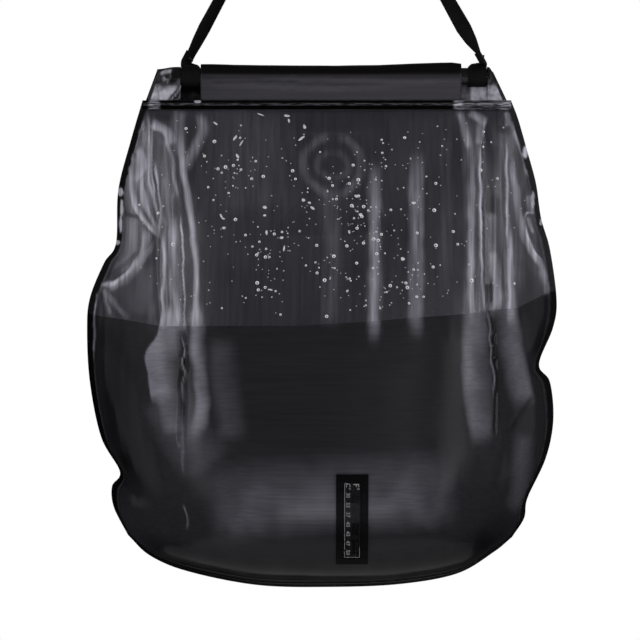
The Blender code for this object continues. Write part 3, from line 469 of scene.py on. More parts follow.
# Milky creases and clearer strips between them (negative), written like the folds. Many of them are painted
# sheen
# # instead: the lamps' reflections on the folds, the soft upright bands in the middle, the port's ring behind
# and the
# # glow near the foot; some negative ones are painted shade along the rims.
milk_and_sheen_lines = (
    (0.46, 20, 16, ((136, 116), (137, 150), (140, 190), (150, 222))),
    (0.30, 8, 22, ((158, 116), (160, 160), (163, 205), (166, 322))),
    (0.30, 16, 14, ((136, 214), (133, 245), (124, 276))),
    (0.10, 24, 26, ((140, 262), (142, 290), (140, 318))),
    (0.26, 14, 14, ((470, 112), (474, 150), (476, 220), (476, 310))),
    (0.20, 18, 16, ((506, 118), (508, 180), (512, 240), (516, 300))),
    (0.08, 14, 12, ((524, 150), (528, 190), (534, 240), (540, 286))),
    (0.60, 3, 6, ((141, 118), (134, 131), (130, 142))),
    (-0.50, 5, 5, ((141, 128), (138, 145), (133, 160))),
    (0.85, 8, 2.5, ((141, 146), (144, 160), (143, 172), (135, 184))),
    (0.70, 1.5, 5, ((130, 166), (129.6, 180), (131.4, 196), (138.6, 213.6), (150, 229), (158, 237))),
    (0.70, 5, 1.4, ((144, 172), (143.6, 186), (146, 200), (151, 214), (157, 231))),
    (-0.45, 2.5, 2.5, ((137, 186), (139, 200), (146, 216), (152, 226))),
    (0.65, 1.4, 2.5, ((147.5, 112), (148, 140), (147.6, 165), (149, 186), (153, 205))),
    (0.60, 2, 1.4, ((152.6, 116), (152, 140), (151.6, 165), (153.5, 190), (158, 218))),
    (-0.35, 1.3, 1.3, ((155, 130), (154.6, 160), (156, 185))),
    (-0.60, 5, 5, ((156, 113), (162, 117), (170, 114))),
    (0.75, 3, 9, ((149, 124), (156, 129), (162, 131), (167, 137), (171, 147))),
    (0.85, 1.2, 1.6, ((155.5, 160), (156.4, 176), (159, 196), (160.4, 218), (158, 236))),
    (0.75, 2, 2.2, ((165, 136), (169, 148), (172.5, 160), (174.3, 181), (178, 201))),
    (-0.55, 4, 5, ((161, 142), (162, 158), (164, 180))),
    (0.22, 9, 10, ((181, 108), (177, 130), (179, 158))),
    (0.40, 7, 8, ((199, 112), (203, 128), (197, 144), (188, 160), (183, 172))),
    (0.85, 3.5, 5, ((178, 128), (180, 150), (183, 174), (187, 196), (191.5, 225), (195, 260),
                    (195.5, 290), (195, 336))),
    (0.85, 1.6, 2.8, ((163, 232), (163.6, 262), (162.4, 290), (163, 310), (162, 334))),
    (-0.80, 1.3, 1.5, ((167.3, 212), (167.6, 250), (167.4, 290), (169, 305), (168, 326))),
    (0.55, 3, 6, ((172, 212), (172.5, 260), (173, 290), (177, 312), (180, 334))),
    (0.90, 1.0, 1.6, ((180, 212), (182, 240), (183.6, 280), (184.6, 300), (183.5, 334))),
    (-0.55, 1.2, 2.5, ((186.5, 240), (188, 270), (188.5, 300), (188.5, 330))),
    (0.55, 3, 9, ((145, 224), (143.6, 246), (139, 258), (130, 271), (117, 281), (100, 285))),
    (0.75, 2, 3.5, ((138, 259), (130, 271), (119, 280), (108, 284), (98, 284))),
    (-0.55, 3, 4, ((140, 250), (128, 262), (112, 273), (103, 278))),
    (-0.70, 2, 4, ((123, 211), (130, 215), (140, 219))),
    (0.70, 1.0, 1.5, ((99.5, 285), (95.5, 299), (94.5, 326), (93, 360))),
    (0.35, 3, 3, ((102, 287), (106, 300), (111, 316))),
    (0.25, 3, 4, ((104, 290), (116, 306), (128, 320))),
    (0.50, 4, 6, ((458, 110), (463, 126), (469, 150))),
    (0.50, 5, 6, ((468, 113), (478, 118), (487, 123))),
    (0.60, 8, 2, ((486, 120), (483, 132), (480, 146))),
    (-0.80, 2, 3, ((488, 122), (484.5, 131), (486, 142))),
    (0.95, 1.8, 1.2, ((481, 138), (480.4, 160), (480, 180), (480.4, 207), (480.6, 242), (481.8, 271),
                      (483, 301), (488, 316))),
    (-0.75, 0.6, 2.4, ((483.2, 146), (482.6, 178), (483, 212), (483.6, 250))),
    (0.50, 5, 4, ((472, 160), (471, 240), (471, 300), (471.5, 326))),
    (-0.40, 1.3, 1.3, ((476.5, 150), (476, 200), (476, 260), (477, 310))),
    (-0.50, 8, 8, ((494, 140), (494, 175), (495, 208))),
    (0.40, 8, 8, ((491, 212), (492, 234), (492, 252))),
    (0.75, 5, 8, ((491, 246), (494, 272), (497, 292), (494, 314))),
    (-0.85, 4, 4, ((487, 280), (489, 294), (490, 308))),
    (-0.60, 2.5, 2.5, ((501, 196), (502.5, 250), (503, 314))),
    (0.80, 1.4, 2.4, ((506, 142), (506.4, 190), (506.6, 246))),
    (0.65, 3, 6, ((508, 226), (509, 270), (510, 330))),
    (-0.55, 3, 4, ((512, 148), (513, 168), (516, 190))),
    (0.65, 5, 4, ((511, 156), (515, 185), (518.6, 212), (522, 230), (530, 249), (541, 264), (547, 285))),
    (0.65, 4, 3, ((511, 120), (518, 140), (525, 156), (529, 178))),
    (-0.60, 3, 3, ((527, 178), (528, 192))),
    (0.80, 1.2, 1.6, ((537, 212), (527, 213.5), (523.6, 222), (526, 236), (533, 250), (544, 262))),
    (0.55, 5, 3, ((529, 194), (532, 206), (533, 214))),
    (0.45, 3, 3, ((528, 217), (530, 226), (534, 234))),
    (0.40, 5, 5, ((541, 268), (545, 284), (547, 296))),
    (-0.35, 8, 8, ((521, 258), (526, 280), (530, 296))),
    (-0.55, 4, 6, ((498, 124), (502, 131), (511, 131), (515, 124))),
    (0.40, 4, 4, ((506, 111), (508, 120), (507, 128))),
    (0.13, 12, 12, ((330, 180), (331, 250), (330, 330))),
    (0.60, 7, 9, ((374, 160), (374, 250), (373, 345))),
    (0.46, 10, 9, ((417, 150), (417, 250), (416, 340))),
    (0.06, 9, 9, ((445, 125), (446, 200), (445, 300))),
    (0.15, 6, 6, ((333, 136), (350, 142), (361, 158), (359, 178), (348, 190), (336, 199))),
    (0.15, 6, 6, ((333, 136), (316, 142), (304, 158), (307, 178), (320, 190), (336, 199))),
    (0.10, 5, 5, ((333, 151), (345, 158), (347, 170), (335, 181))),
    (0.10, 5, 5, ((333, 151), (321, 158), (319, 170), (335, 181))),
    (0.06, 60, 55, ((255, 100), (250, 160), (256, 215))),
    (0.19, 32, 60, ((205, 524), (260, 512), (330, 507), (395, 505), (462, 500))),
    (0.62, 1.5, 30, ((164, 300), (158, 334), (146.5, 356), (149, 376), (153, 406))),
    (0.22, 10, 16, ((160, 385), (166, 412), (172, 436))),
    (0.50, 6, 13, ((195, 300), (194, 345), (198, 385), (199, 412), (190, 440))),
    (0.12, 26, 40, ((160, 395), (182, 440), (205, 475))),
    (0.11, 12, 24, ((215, 335), (221, 390), (228, 445))),
    (0.36, 8, 26, ((469, 284), (468, 345), (470, 395), (478, 448))),
    (0.32, 21, 7, ((511, 286), (517, 345), (531, 408))),
    (0.12, 14, 12, ((526, 430), (522, 480), (514, 515))),
    (-0.75, 3, 3, ((534, 394), (520, 414), (506, 434))),
    (0.22, 1.5, 1.5, ((183, 420), (183, 475))),
    (0.35, 1.2, 1.2, ((183, 505), (188, 518), (187, 529))),
    (-0.90, 3, 2.5, ((183, 326), (182, 345), (184, 365), (182, 385), (183.5, 403), (182, 422))),
    (0.50, 1.0, 1.2, ((181, 334), (184, 350), (182.2, 362), (184.6, 374), (182.6, 386), (183.8, 404))),
    (-0.90, 4, 6, ((487, 304), (491, 330), (494, 361), (495, 393), (494, 446))),
    (0.42, 1.2, 1.4, ((487.5, 306), (490, 326), (489.5, 338), (492.5, 350), (491, 362), (494, 376),
                      (493, 400))),
    (-0.90, 24, 22, ((107, 300), (110, 350), (115, 410), (126, 470), (140, 510))),
    (-0.90, 24, 24, ((110, 535), (180, 562), (250, 573), (330, 575), (410, 570), (480, 550), (530, 500))),
    (-0.70, 12, 12, ((545, 290), (541, 330), (538, 360))),
)
# Places where the edge's weld is clear instead of black.
weld_gaps = ((120.5, 192, 3, 5), (121.6, 208, 1.7, 10), (120.6, 224, 1.6, 10), (117.5, 242.5, 3, 2.6),
             (525.5, 152, 3, 7), (533, 200, 1.8, 10), (541, 222, 1.5, 4))
# The thermometer's middle, its half size and the film's fade to flat round it, in the same units.
thermometer_x, thermometer_y, thermometer_half_width, thermometer_half_height = 350.5, 516, 17, 46
thermometer_fade = 14
fold_share = 0.5            # of the stated heights, as the film has slackened with the heat of the water
front_crumples = ((0.022, (1, 1, 0.22), 3.0, 0.0012, 3), (0.009, (1, 1, 0.2), 8.0, 0.0004, 3),
                  (0.060, (1, 1, 0.45), 5.0, 0.0012, 0))
front_free_depths, deepest_fold_share = (0.0015, 0.012), 0.5
broad_reach = 14            # of both sides of a crease together, past which it fades like a cloud
wobble_size, wobble_reach, fading_size = 9.0, 1.6, 14.0      # of the creases' uneven edges and strength
side_lines, middle_lines, side_band_share = 106, 56, 0.31
dry_rows, wet_rows, wet_power = 172, 112, 1.25
edge_wave_size, edge_wave_height = 0.007, 0.0016
weld_start, weld_end = 0.0062, 0.0078
least_milk, gap_milk = 0.04, 0.9
# The water's line from the left weld to the right one, in the same units.
water_line = ((86, 313), (95, 315), (127, 320), (160, 326), (200, 326), (300, 325.7), (371, 321.6),
              (411, 318), (467, 314), (491, 310), (517, 308), (541, 296), (556, 290))


def seen_from_front(grid):
    """Where a grid's points lie in the front view, in its units."""
    nearer = camera_distance / (camera_distance + grid[..., 1]) / unit
    x = view_units / 2 + (grid[..., 0] - view_centre.x) * nearer
    y = view_units / 2 - (grid[..., 2] - view_centre.z) * nearer
    return np.stack([x, y], -1)


def near_line(seen, line, left, right):
    """Which places lie about a line, how far aside as a share of the reach, and the line's fading ends."""
    line = smooth_path(line, 4) if len(line) > 2 else np.array(line, float)
    lengths = np.linalg.norm(np.diff(line, axis=0), axis=1)
    run = np.concatenate([[0.0], np.cumsum(lengths)])
    reach = max(left, right) + 2
    box = (seen[..., 0] > line[:, 0].min() - reach) & (seen[..., 0] < line[:, 0].max() + reach)
    box &= (seen[..., 1] > line[:, 1].min() - reach) & (seen[..., 1] < line[:, 1].max() + reach)
    points = seen[box]
    near, off, at = np.full(len(points), 1e9), np.zeros(len(points)), np.zeros(len(points))
    for a, b, start, length in zip(line, line[1:], run, lengths):
        way = (b - a) / length
        out = points - a
        share = np.clip(out @ way, 0, length)
        gap = np.linalg.norm(out - share[:, None] * way, axis=1)
        closer = gap < near
        near[closer] = gap[closer]
        off[closer] = (way[0] * out[closer, 1] - way[1] * out[closer, 0])
        at[closer] = (start + share[closer]) / run[-1]
    aside = np.clip(near / np.where(off > 0, left, right), 0, 1)
    return box, aside, eased(np.minimum(at, 1 - at), -0.02, 0.16)


def fold_height(seen, lines):
    """Sum of the folds over the seen places, in metres. A fold rises to its line and fades at its ends."""
    total = np.zeros(seen.shape[:-1])
    for height, left, right, line in lines:
        box, t, ends = near_line(seen, line, left, right)
        total[box] += height / 1000 * (0.4 * (1 - t) ** 1.3 + 0.6 * (1 - t * t * (3 - 2 * t))) * ends
    return total


def milkiness(seen, lines, start):
    """A share from 0 to 1 drawn along lines: milky creases and painted sheen raise it, clearer strips and
    painted shade lower it.
    """
    total = np.zeros(seen.shape[:-1]) + start
    flat = np.concatenate([seen, np.zeros(seen.shape[:-1] + (1,))], axis=-1)
    wobble = [noise_over(flat, wobble_size, (1.0, 0.5, 0), seed) for seed in (1.0, 4.0)]
    wobble = np.stack(wobble, -1) * wobble_reach
    fading = 0.80 + 0.35 * noise_over(flat, fading_size, (0.8, 0.5, 0), 7.0)
    for share, left, right, line in lines:
        box, t, ends = near_line(seen + wobble, line, left, right)
        broad = 1.0 if left + right > broad_reach else 0.0
        across = (1 - t * t) ** 1.5 * broad + (1 - t) ** 1.2 * (1 + t) * (1 - broad)
        mark = np.clip(across * ends * abs(share) * fading[box] * 1.1, 0, 1)
        total[box] += ((1.0 if share > 0 else 0.0) - total[box]) * mark
    return total


def patch_share(seen, patches):
    """1 inside soft round patches of the front view, each (x, y, half width, half height), falling to 0."""
    total = np.zeros(seen.shape[:-1])
    for x, y, half_width, half_height in patches:
        out = np.hypot((seen[..., 0] - x) / half_width, (seen[..., 1] - y) / half_height)
        total = np.maximum(total, 1 - eased(out, 0.75, 1.1))
    return total


def water_share(across):
    """How far down each line of the sheet meets the water's line."""
    lines, fine = np.meshgrid(across, np.linspace(0.2, 0.6, 160))
    seen = seen_from_front(sheet_grid(lines, fine, -1, natural_depth))
    level_x, level_y = np.array(water_line, float).T
    below = seen[..., 1] - np.interp(seen[..., 0], level_x, level_y)
    return np.array([np.interp(0.0, column, fine[:, 0]) for column in below.T])


def milk_through(tree, grain, start, end, least, most):
    """How milky a film is, painted sheen included: its milk_and_sheen_share, weaker where the noise lies low.
    """
    milky = add_node(tree, "ShaderNodeAttribute", {"attribute_name": "milk_and_sheen_share"}).outputs["Fac"]
    patchy = add_node(tree, "ShaderNodeMapRange", _0=grain, _1=start, _2=end, _3=least, _4=most)
    return add_node(tree, "ShaderNodeMath", {"operation": "MULTIPLY", "use_clamp": True}, _0=milky, _1=patchy)


def welded_film(name, cloud, dark, light, dulls, streaks, patchy, milk_and_sheen_hex, **constants):
    """Cloudy PVC film, milky in drawn streaks where it is creased and where sheen is painted, and black where
    it is welded.
    """
    material, tree, shader, _, haze = noise_material(
        name, cloud, dark, light, 4.0, dulls, None, (0.35, 0.65), **constants)
    place = add_node(tree, "ShaderNodeTexCoord").outputs["Object"]
    drawn = add_node(tree, "ShaderNodeMapping", Vector=place, Scale=streaks)
    streak = add_node(tree, "ShaderNodeTexNoise", Vector=drawn, Scale=1.0, Detail=3.0)
    milk_and_sheen = milk_through(tree, streak, *patchy)
    weld = add_node(tree, "ShaderNodeAttribute", {"attribute_name": "weld_share"}).outputs["Fac"]
    creased = add_node(tree, "ShaderNodeMix", {"data_type": "RGBA"}, _0=milk_and_sheen, _6=haze, _7=linear(milk_and_sheen_hex))
    tint = add_node(tree, "ShaderNodeMix", {"data_type": "RGBA"}, _0=weld, _6=creased, _7=linear("#030304"))
    set_inputs(tree, shader, Base_Color=tint)
    return material, tree, shader, streak, milk_and_sheen, weld


side_shares = np.linspace(0, side_band_share, side_lines)
middle_shares = np.linspace(side_band_share, 1 - side_band_share, middle_lines)[1:-1]
lines = np.concatenate([side_shares, middle_shares, 1 - side_shares[::-1]])
meets = water_share(lines)
dry_down = meets * np.linspace(0, 1, dry_rows)[:, None]
wet_down = meets + (1 - meets) * (np.linspace(0, 1, wet_rows)[1:, None] ** wet_power)
down = np.vstack([dry_down, wet_down])
across = np.broadcast_to(lines, down.shape)
front_grid = sheet_grid(across, down, -1, natural_depth)
depth = natural_depth(across, down)
seen = seen_from_front(front_grid)
folds = fold_height(seen, fold_lines) * fold_share
folds += crumples(front_grid, front_crumples, np.abs(across - 0.5) * 2)
beside = np.maximum(np.abs(seen[..., 0] - thermometer_x) - thermometer_half_width,
                    np.abs(seen[..., 1] - thermometer_y) - thermometer_half_height)
folds = np.maximum(folds * eased(beside, 0.0, thermometer_fade), -deepest_fold_share * depth)
front_grid += grid_normals(front_grid, -1) * (folds * eased(depth, *front_free_depths))[..., None]

# Clear PVC film in air, cast and glossy: a thin smoky haze lets the black sheet behind it show, and both its
# faces give
# # sheen. It is milky along its creases, with the lamps' sheen on its folds painted in there too, and black
# where it is welded.
clear_film, tree, shader, _, milk_and_sheen, weld = welded_film(
    "clear_cast_pvc_film", 16.0, "#1e1d22", "#29282e", (0.20, 0.28), (260.0, 40.0, 11.0),
    (0.30, 0.68, 0.45, 1.15), "#c2c0ca", IOR=1.54, Specular_IOR_Level=0.5)
cover = add_node(tree, "ShaderNodeMath", {"operation": "MAXIMUM"}, _0=weld, _1=milk_and_sheen)
solid = add_node(tree, "ShaderNodeMapRange", _0=cover, _3=0.66, _4=1.0)
place = add_node(tree, "ShaderNodeTexCoord").outputs["Object"]
ripple = add_node(tree, "ShaderNodeTexNoise", Vector=place, Scale=90.0, Detail=3.0)
skin = add_node(tree, "ShaderNodeBump", Height=ripple, Strength=0.25, Distance=0.0006)
set_inputs(tree, shader, Alpha=solid, Normal=skin)

# The same film wetted through to the water: no air behind it, so it looks black, and its sheen is fainter and
# softer.
# # Its drawn streaks are painted sheen of the folds, dimmer than in air, with painted shade along the rims.
# Fine level
# # scratches run across it.
wet_film, tree, shader, scratch, _, _ = welded_film(
    "wet_black_pvc_film", 14.0, "#040405", "#0c0c0e", (0.18, 0.26), (9.0, 260.0, 420.0),
    (0.30, 0.70, 0.84, 1.12), "#93919a", IOR=1.5, Specular_IOR_Level=0.13)
skin = add_node(tree, "ShaderNodeBump", Height=scratch, Strength=0.10, Distance=0.0005)
set_inputs(tree, shader, Normal=skin)

front_film = grid_mesh("front_film", front_grid, -1, clear_film)
front_film.data.materials.append(wet_film)
face_rows = np.repeat(np.arange(dry_rows + wet_rows - 2), len(lines) - 1)
front_film.data.polygons.foreach_set("material_index", (face_rows >= dry_rows - 1).astype(np.int32))
widths = right_edge(down)[..., 0] - left_edge(down)[..., 0]
from_edge = np.minimum(np.minimum(across, 1 - across) * widths, (1 - down) * bag_height)
from_edge = from_edge + noise_over(front_grid, edge_wave_size, seed=6.0) * edge_wave_height
gaps = patch_share(seen, weld_gaps)
# The film's milky creases with the painted sheen and shade, and its black weld.
paint(front_film, "milk_and_sheen_share", np.maximum(milkiness(seen, milk_and_sheen_lines, least_milk), gaps * gap_milk))
paint(front_film, "weld_share", (1 - eased(from_edge, weld_start, weld_end)) * (1 - gaps))
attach(front_film, "bag")
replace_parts(front_film, "front_panel")


# Drops on the film above the water: condensed water and splashes, each a low dome of 1 to 3 mm.
# They gather in the middle of the sheet, where the film hangs away from the folds.
drop_density = 17000.0       # drops per square metre where they lie thickest
drop_seed = 7
drop_size = 0.0011
# Where drops lie, in the front view: where a field fades in or out at its left, right, top and bottom.
thick_field = ((185, 260), (400, 475), (120, 190), (285, 322))
sparse_field, sparse_share = ((135, 160), (505, 530), (112, 150), (290, 318)), 0.12
cluster_size, cluster_gain, cluster_middle, cluster_least = 0.05, 1.6, 0.55, 0.05

# Clear water drop: grey where it is seen square on and white round its rim, a painted highlight for the
# lamps'
# # reflections, with one hard glint.
water_drop, tree, shader, _, tint = noise_material(
    "clear_water_drop", 700.0, "#6a6a70", "#ffffff", bump=(0.1, 0.0002), Roughness=0.05, IOR=1.7,
    Specular_IOR_Level=1.0)
grazing = add_node(tree, "ShaderNodeLayerWeight", Blend=0.35).outputs["Facing"]
set_inputs(tree, tint, _0=add_node(tree, "ShaderNodeMapRange", _0=grazing, _1=0.03, _2=0.16))


def field_share(left, right, top, bottom):
    """1 inside a field of the front view, with soft sides."""
    x, y = seen[..., 0], seen[..., 1]
    return eased(x, *left) * (1 - eased(x, *right)) * eased(y, *top) * (1 - eased(y, *bottom))


def nodes_group(name, inputs):
    """A Geometry Nodes tree with a geometry in and out and the given named inputs."""
    group = bpy.data.node_groups.new(name, "GeometryNodeTree")
    group.interface.new_socket(name="Geometry", in_out="INPUT", socket_type="NodeSocketGeometry")
    for label, kind in inputs:
        group.interface.new_socket(name=label, in_out="INPUT", socket_type=kind)
    group.interface.new_socket(name="Geometry", in_out="OUTPUT", socket_type="NodeSocketGeometry")
    return group, group.nodes.new("NodeGroupInput").outputs


def end_with_copies(group, points, shape, turn, scale, material):
    """Ends a tree: a smooth copy of the shape at each point, made real, with its material."""
    smooth = add_node(group, "GeometryNodeSetShadeSmooth", Geometry=shape)
    copies = add_node(group, "GeometryNodeInstanceOnPoints", Points=points, Instance=smooth, Rotation=turn,
                      Scale=scale)
    real = add_node(group, "GeometryNodeRealizeInstances", Geometry=copies)
    finished = add_node(group, "GeometryNodeSetMaterial", Geometry=real, Material=material)
    add_node(group, "NodeGroupOutput", Geometry=finished)


def evaluated_mesh(thing):
    """A plain mesh of an object with its modifiers, or of a text."""
    graph = bpy.context.evaluated_depsgraph_get()
    graph.update()
    return bpy.data.meshes.new_from_object(thing.evaluated_get(graph))


def made_with_nodes(name, host, group, values):
    """The plain mesh object that a Geometry Nodes tree makes of the host, which is then removed."""
    modifier = host.modifiers.new(name, "NODES")
    modifier.node_group = group
    for item in group.interface.items_tree:
        if item.in_out == "INPUT" and item.name in values:
            modifier[item.identifier] = values[item.name]
    mesh = evaluated_mesh(host)
    mesh.name = name
    bpy.data.objects.remove(host)
    return into_scene(name, mesh)


bed = front_film.copy()
bed.data = front_film.data.copy()
bed.parent = None
bed.name = "drop_bed"
for key in list(bed.keys()):
    del bed[key]
bpy.context.scene.collection.objects.link(bed)
clusters = noise_over(front_grid, cluster_size, seed=2.0) * cluster_gain + cluster_middle
thick_share = field_share(*thick_field) * np.clip(clusters, cluster_least, 1)
paint(bed, "drop_share", sparse_share * field_share(*sparse_field) + (1 - sparse_share) * thick_share)

group, given = nodes_group("drops", (("Density", "NodeSocketFloat"), ("Size", "NodeSocketFloat"),
                                     ("Seed", "NodeSocketInt"), ("Water", "NodeSocketMaterial")))
painted = add_node(group, "GeometryNodeInputNamedAttribute", {"data_type": "FLOAT"}, Name="drop_share")
amount = add_node(group, "ShaderNodeMath", {"operation": "MULTIPLY"}, _0=painted, _1=given["Density"])
places = add_node(group, "GeometryNodeDistributePointsOnFaces", Mesh=given["Geometry"], Density=amount,
                  Seed=given["Seed"])
chance = add_node(group, "FunctionNodeRandomValue", {"data_type": "FLOAT"}, _2=0.0, _3=1.0,
                  Seed=given["Seed"])
few_big = add_node(group, "ShaderNodeMath", {"operation": "POWER"}, _0=chance, _1=4.0)
size = add_node(group, "ShaderNodeMapRange", _0=few_big, _3=0.45, _4=2.0)
metres = add_node(group, "ShaderNodeMath", {"operation": "MULTIPLY"}, _0=size, _1=given["Size"])
dome = add_node(group, "GeometryNodeMeshUVSphere", Segments=10, Rings=6, Radius=1.0)
low = add_node(group, "GeometryNodeTransform", Geometry=dome, Scale=(1.0, 1.0, 0.62))
end_with_copies(group, places, low, places.outputs["Rotation"], metres, given["Water"])
water_drops = made_with_nodes("water_drops", bed, group, {
    "Density": drop_density, "Size": drop_size, "Seed": drop_seed, "Water": water_drop})
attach(water_drops, "bag")


# Smears: flat runs of water thrown up against the film and half dried, so they are chalky and longer
# than they are wide. Each is a place, half its length and width in the front view's units, and its
# lean from level in degrees.
smears = (
    (215.5, 123.5, 3.0, 0.9, 40), (234.7, 137.7, 3.2, 1.3, -55), (241.8, 143.0, 3.4, 0.8, -60),
    (237.2, 155.5, 2.8, 1.3, 60), (260.0, 114.8, 4.0, 0.6, 25), (287.0, 116.0, 3.0, 1.6, 10),
    (289.0, 120.5, 2.6, 1.0, 80), (304.8, 127.0, 2.8, 1.5, 70), (302.4, 138.5, 4.0, 1.2, -40),
    (265.0, 208.0, 2.2, 1.6, 20), (264.4, 215.8, 1.7, 1.3, 0), (265.8, 232.5, 2.6, 1.1, 85),
    (283.0, 238.0, 1.8, 1.4, 0), (282.6, 248.5, 3.2, 0.9, -85), (221.5, 216.0, 2.8, 1.0, 60),
    (224.0, 219.0, 2.0, 0.8, 15), (223.5, 227.8, 1.8, 1.3, 0), (304.8, 200.0, 1.9, 1.7, 0),
    (309.5, 202.5, 1.6, 1.2, 30), (313.5, 207.5, 2.6, 1.2, 40), (271.0, 290.0, 2.4, 0.9, 10),
    (356.0, 196.0, 2.2, 1.4, 30), (362.0, 214.0, 1.9, 1.5, 0), (349.0, 232.0, 2.0, 1.0, 70),
    (414.0, 202.0, 2.0, 1.6, 0), (403.0, 259.0, 2.1, 1.8, 0), (416.5, 296.5, 1.6, 1.3, 0),
)
smear_height = 0.0006
smear_roughness, smear_grain = 0.4, 1.4      # how uneven a smear's outline is, and how finely

# Half dried water: chalky white with grey grain, hardly glossy.
dried_water = noise_material("half_dried_water_smear", 800.0, "#5c5c62", "#ffffff", Roughness=0.35)[0]

folded_normals = grid_normals(front_grid, -1)
smear_work = bmesh.new()
for number, (x, y, half_length, half_width, lean) in enumerate(smears):
    nearest = np.unravel_index(np.argmin(np.hypot(seen[..., 0] - x, seen[..., 1] - y)), depth.shape)
    out = Vector(folded_normals[nearest])
    level = Vector((0.0, 0.0, 1.0)).cross(out).normalized()
    upright, turn = out.cross(level), math.radians(lean)
    along = level * math.cos(turn) - upright * math.sin(turn)
    aside = level * math.sin(turn) + upright * math.cos(turn)
    for vert in bmesh.ops.create_icosphere(smear_work, subdivisions=2, radius=1.0)["verts"]:
        uneven = noise.noise(vert.co * smear_grain + Vector((number * 5.0, 0.0, 0.0)))
        share = vert.co * (1 + smear_roughness * uneven)
        vert.co = (Vector(front_grid[nearest]) + along * (share.x * half_length * unit)
                   + aside * (share.y * half_width * unit) + out * (share.z * smear_height))
for face in smear_work.faces:
    face.smooth = True
water_smears = mesh_piece("water_smears", smear_work, dried_water)
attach(water_smears, "bag")


# Water: it fills the lower half of the bag between the two sheets. Its flat top shows through the
# clear film from above; from the front it only darkens the film.
water_inset, water_least_depth = 0.005, 0.0008
water_steps = 48
water_side_share, water_top_share, water_foot_share = 0.05, 0.004, 0.962

# Still water against black film: a dark mirror, a little cloudy.
still_water = noise_material("still_water_in_a_black_bag", 9.0, "#0b0c0e", "#15171a", Roughness=0.04,
                             IOR=1.33)[0]


def skin_between(work, first, second):
    """Faces between two rows of points."""
    for i in range(len(first) - 1):
        work.faces.new((first[i], first[i + 1], second[i + 1], second[i]))


lines = np.linspace(water_side_share, 1 - water_side_share, water_steps)
top = water_share(lines) + water_top_share
down = top + (water_foot_share - top) * np.linspace(0, 1, water_steps)[:, None]
across = np.broadcast_to(lines, down.shape)
flat = on_outline(across, down)
work = bmesh.new()
layers = []
for side, depth_of in ((-1, natural_depth), (1, back_depth)):
    y = np.maximum(depth_of(across, down) - water_inset, water_least_depth) * side
    grid = np.stack([flat[..., 0], y, flat[..., 1]], -1).tolist()
    layers.append([[work.verts.new(point) for point in row] for row in grid])
for layer in layers:
    for upper, lower in zip(layer, layer[1:]):
        skin_between(work, upper, lower)
for row in (0, -1):
    skin_between(work, *[layer[row] for layer in layers])
for end in (0, -1):
    skin_between(work, *[[row[end] for row in layer] for layer in layers])
bmesh.ops.recalc_face_normals(work, faces=work.faces)
water = mesh_piece("water", work, still_water)
water.data.shade_smooth()
water.data.set_sharp_from_angle(angle=math.radians(40))
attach(water, "bag")


# Hem: a strip of black PVC sheet folded over the rod, its lips welded to the bag's top. Two cut-outs
# part it into a sleeve and two short outer ends; behind each cut-out a slack flap of the fold is left.
rod_radius, rod_clearance = 0.0095, 0.0004
sleeve_radius = rod_radius + rod_clearance + film_thickness / 2
lip_height = hem_weld_height - 0.0015
lip_gap = 0.0003            # from the lips to the bag's sheets, and from the weld's seam to the lips
lip_y = sheet_gap / 2 + film_thickness + lip_gap + film_thickness / 2
left_foot_x = left_edge_shares[0][0] * bag_width
right_foot_x = right_edge_shares[0][0] * bag_width
left_end_width, left_cutout_width, right_end_width, right_cutout_width = 0.0423, 0.0220, 0.0264, 0.0286
left_cutout = (left_foot_x + left_end_width, left_foot_x + left_end_width + left_cutout_width)
right_cutout = (right_foot_x - right_end_width - right_cutout_width, right_foot_x - right_end_width)
sleeve_columns, loose_height = 180, 0.008
sleeve_crumples = ((0.012, (0.16, 1, 1), 4.0, 0.0006, 0), (0.030, (0.5, 1, 1), 6.0, 0.0008, 0))
# The sleeve's painted light: its share on the front, and the heights above the rod's middle over which this
# painted light (the rub beside) fades out to painted shade on the crown.
painted_light_share, lit_up_to = 0.60, (-0.0010, 0.0028)      # above the rod's middle, where the rub fades out
# How far the crown stands slack above the rod, in mm at places across the front view, and the painted
# highlight
# # bands across the sleeve's front, the negative one a painted darker band.
crown_rises = ((199, 3.0), (212, 3.2), (260, 1.6), (330, 1.4), (370, 1.9), (400, 2.8), (440, 4.8), (452, 4.8),
               (462, 3.2))
sleeve_highlights = (
    (0.80, 4, 2.5, ((196, 76.5), (260, 76.8), (330, 78.5), (400, 81), (470, 80.5))),
    (0.70, 2.5, 2.5, ((196, 85), (245, 86.2), (300, 88), (345, 88.5), (410, 86))),
    (-0.50, 2, 2, ((196, 81), (250, 81.6), (330, 83.6), (385, 84.6))),
)


def hem_profile(arc_steps=34):
    """(y, z) of the hem's middle line, from the front lip's foot over the rod to the back lip's foot."""
    foot, top = hem_z - lip_height, hem_z
    reach = math.hypot(lip_y, hem_z - rod_z)
    lean = math.atan2(lip_y, rod_z - hem_z)
    opening = math.acos(sleeve_radius / reach)
    turns = np.linspace(-math.pi / 2 - lean - opening, -math.pi / 2 + lean + opening - 2 * math.pi, arc_steps)
    arc = np.stack([sleeve_radius * np.cos(turns), rod_z + sleeve_radius * np.sin(turns)], -1)
    lip = np.array([(-lip_y, foot), (-lip_y, top)])
    falling = arc[:1] + (lip[1] - arc[0]) * np.linspace(1, 0, 9)[:-1, None]
    front = np.vstack([lip[:1], (lip[:1] + lip[1:]) / 2, falling])
    back = (front * (-1, 1))[::-1]
    return np.vstack([front, arc, back])


profile = hem_profile()
hem_foot, hem_crown = hem_z - lip_height, rod_z + sleeve_radius


def extruded(outline, xs):
    """Rows of (x, y, z) points: the (y, z) outline at each x."""
    return np.stack([np.column_stack([np.full(len(outline), x), outline]) for x in xs])


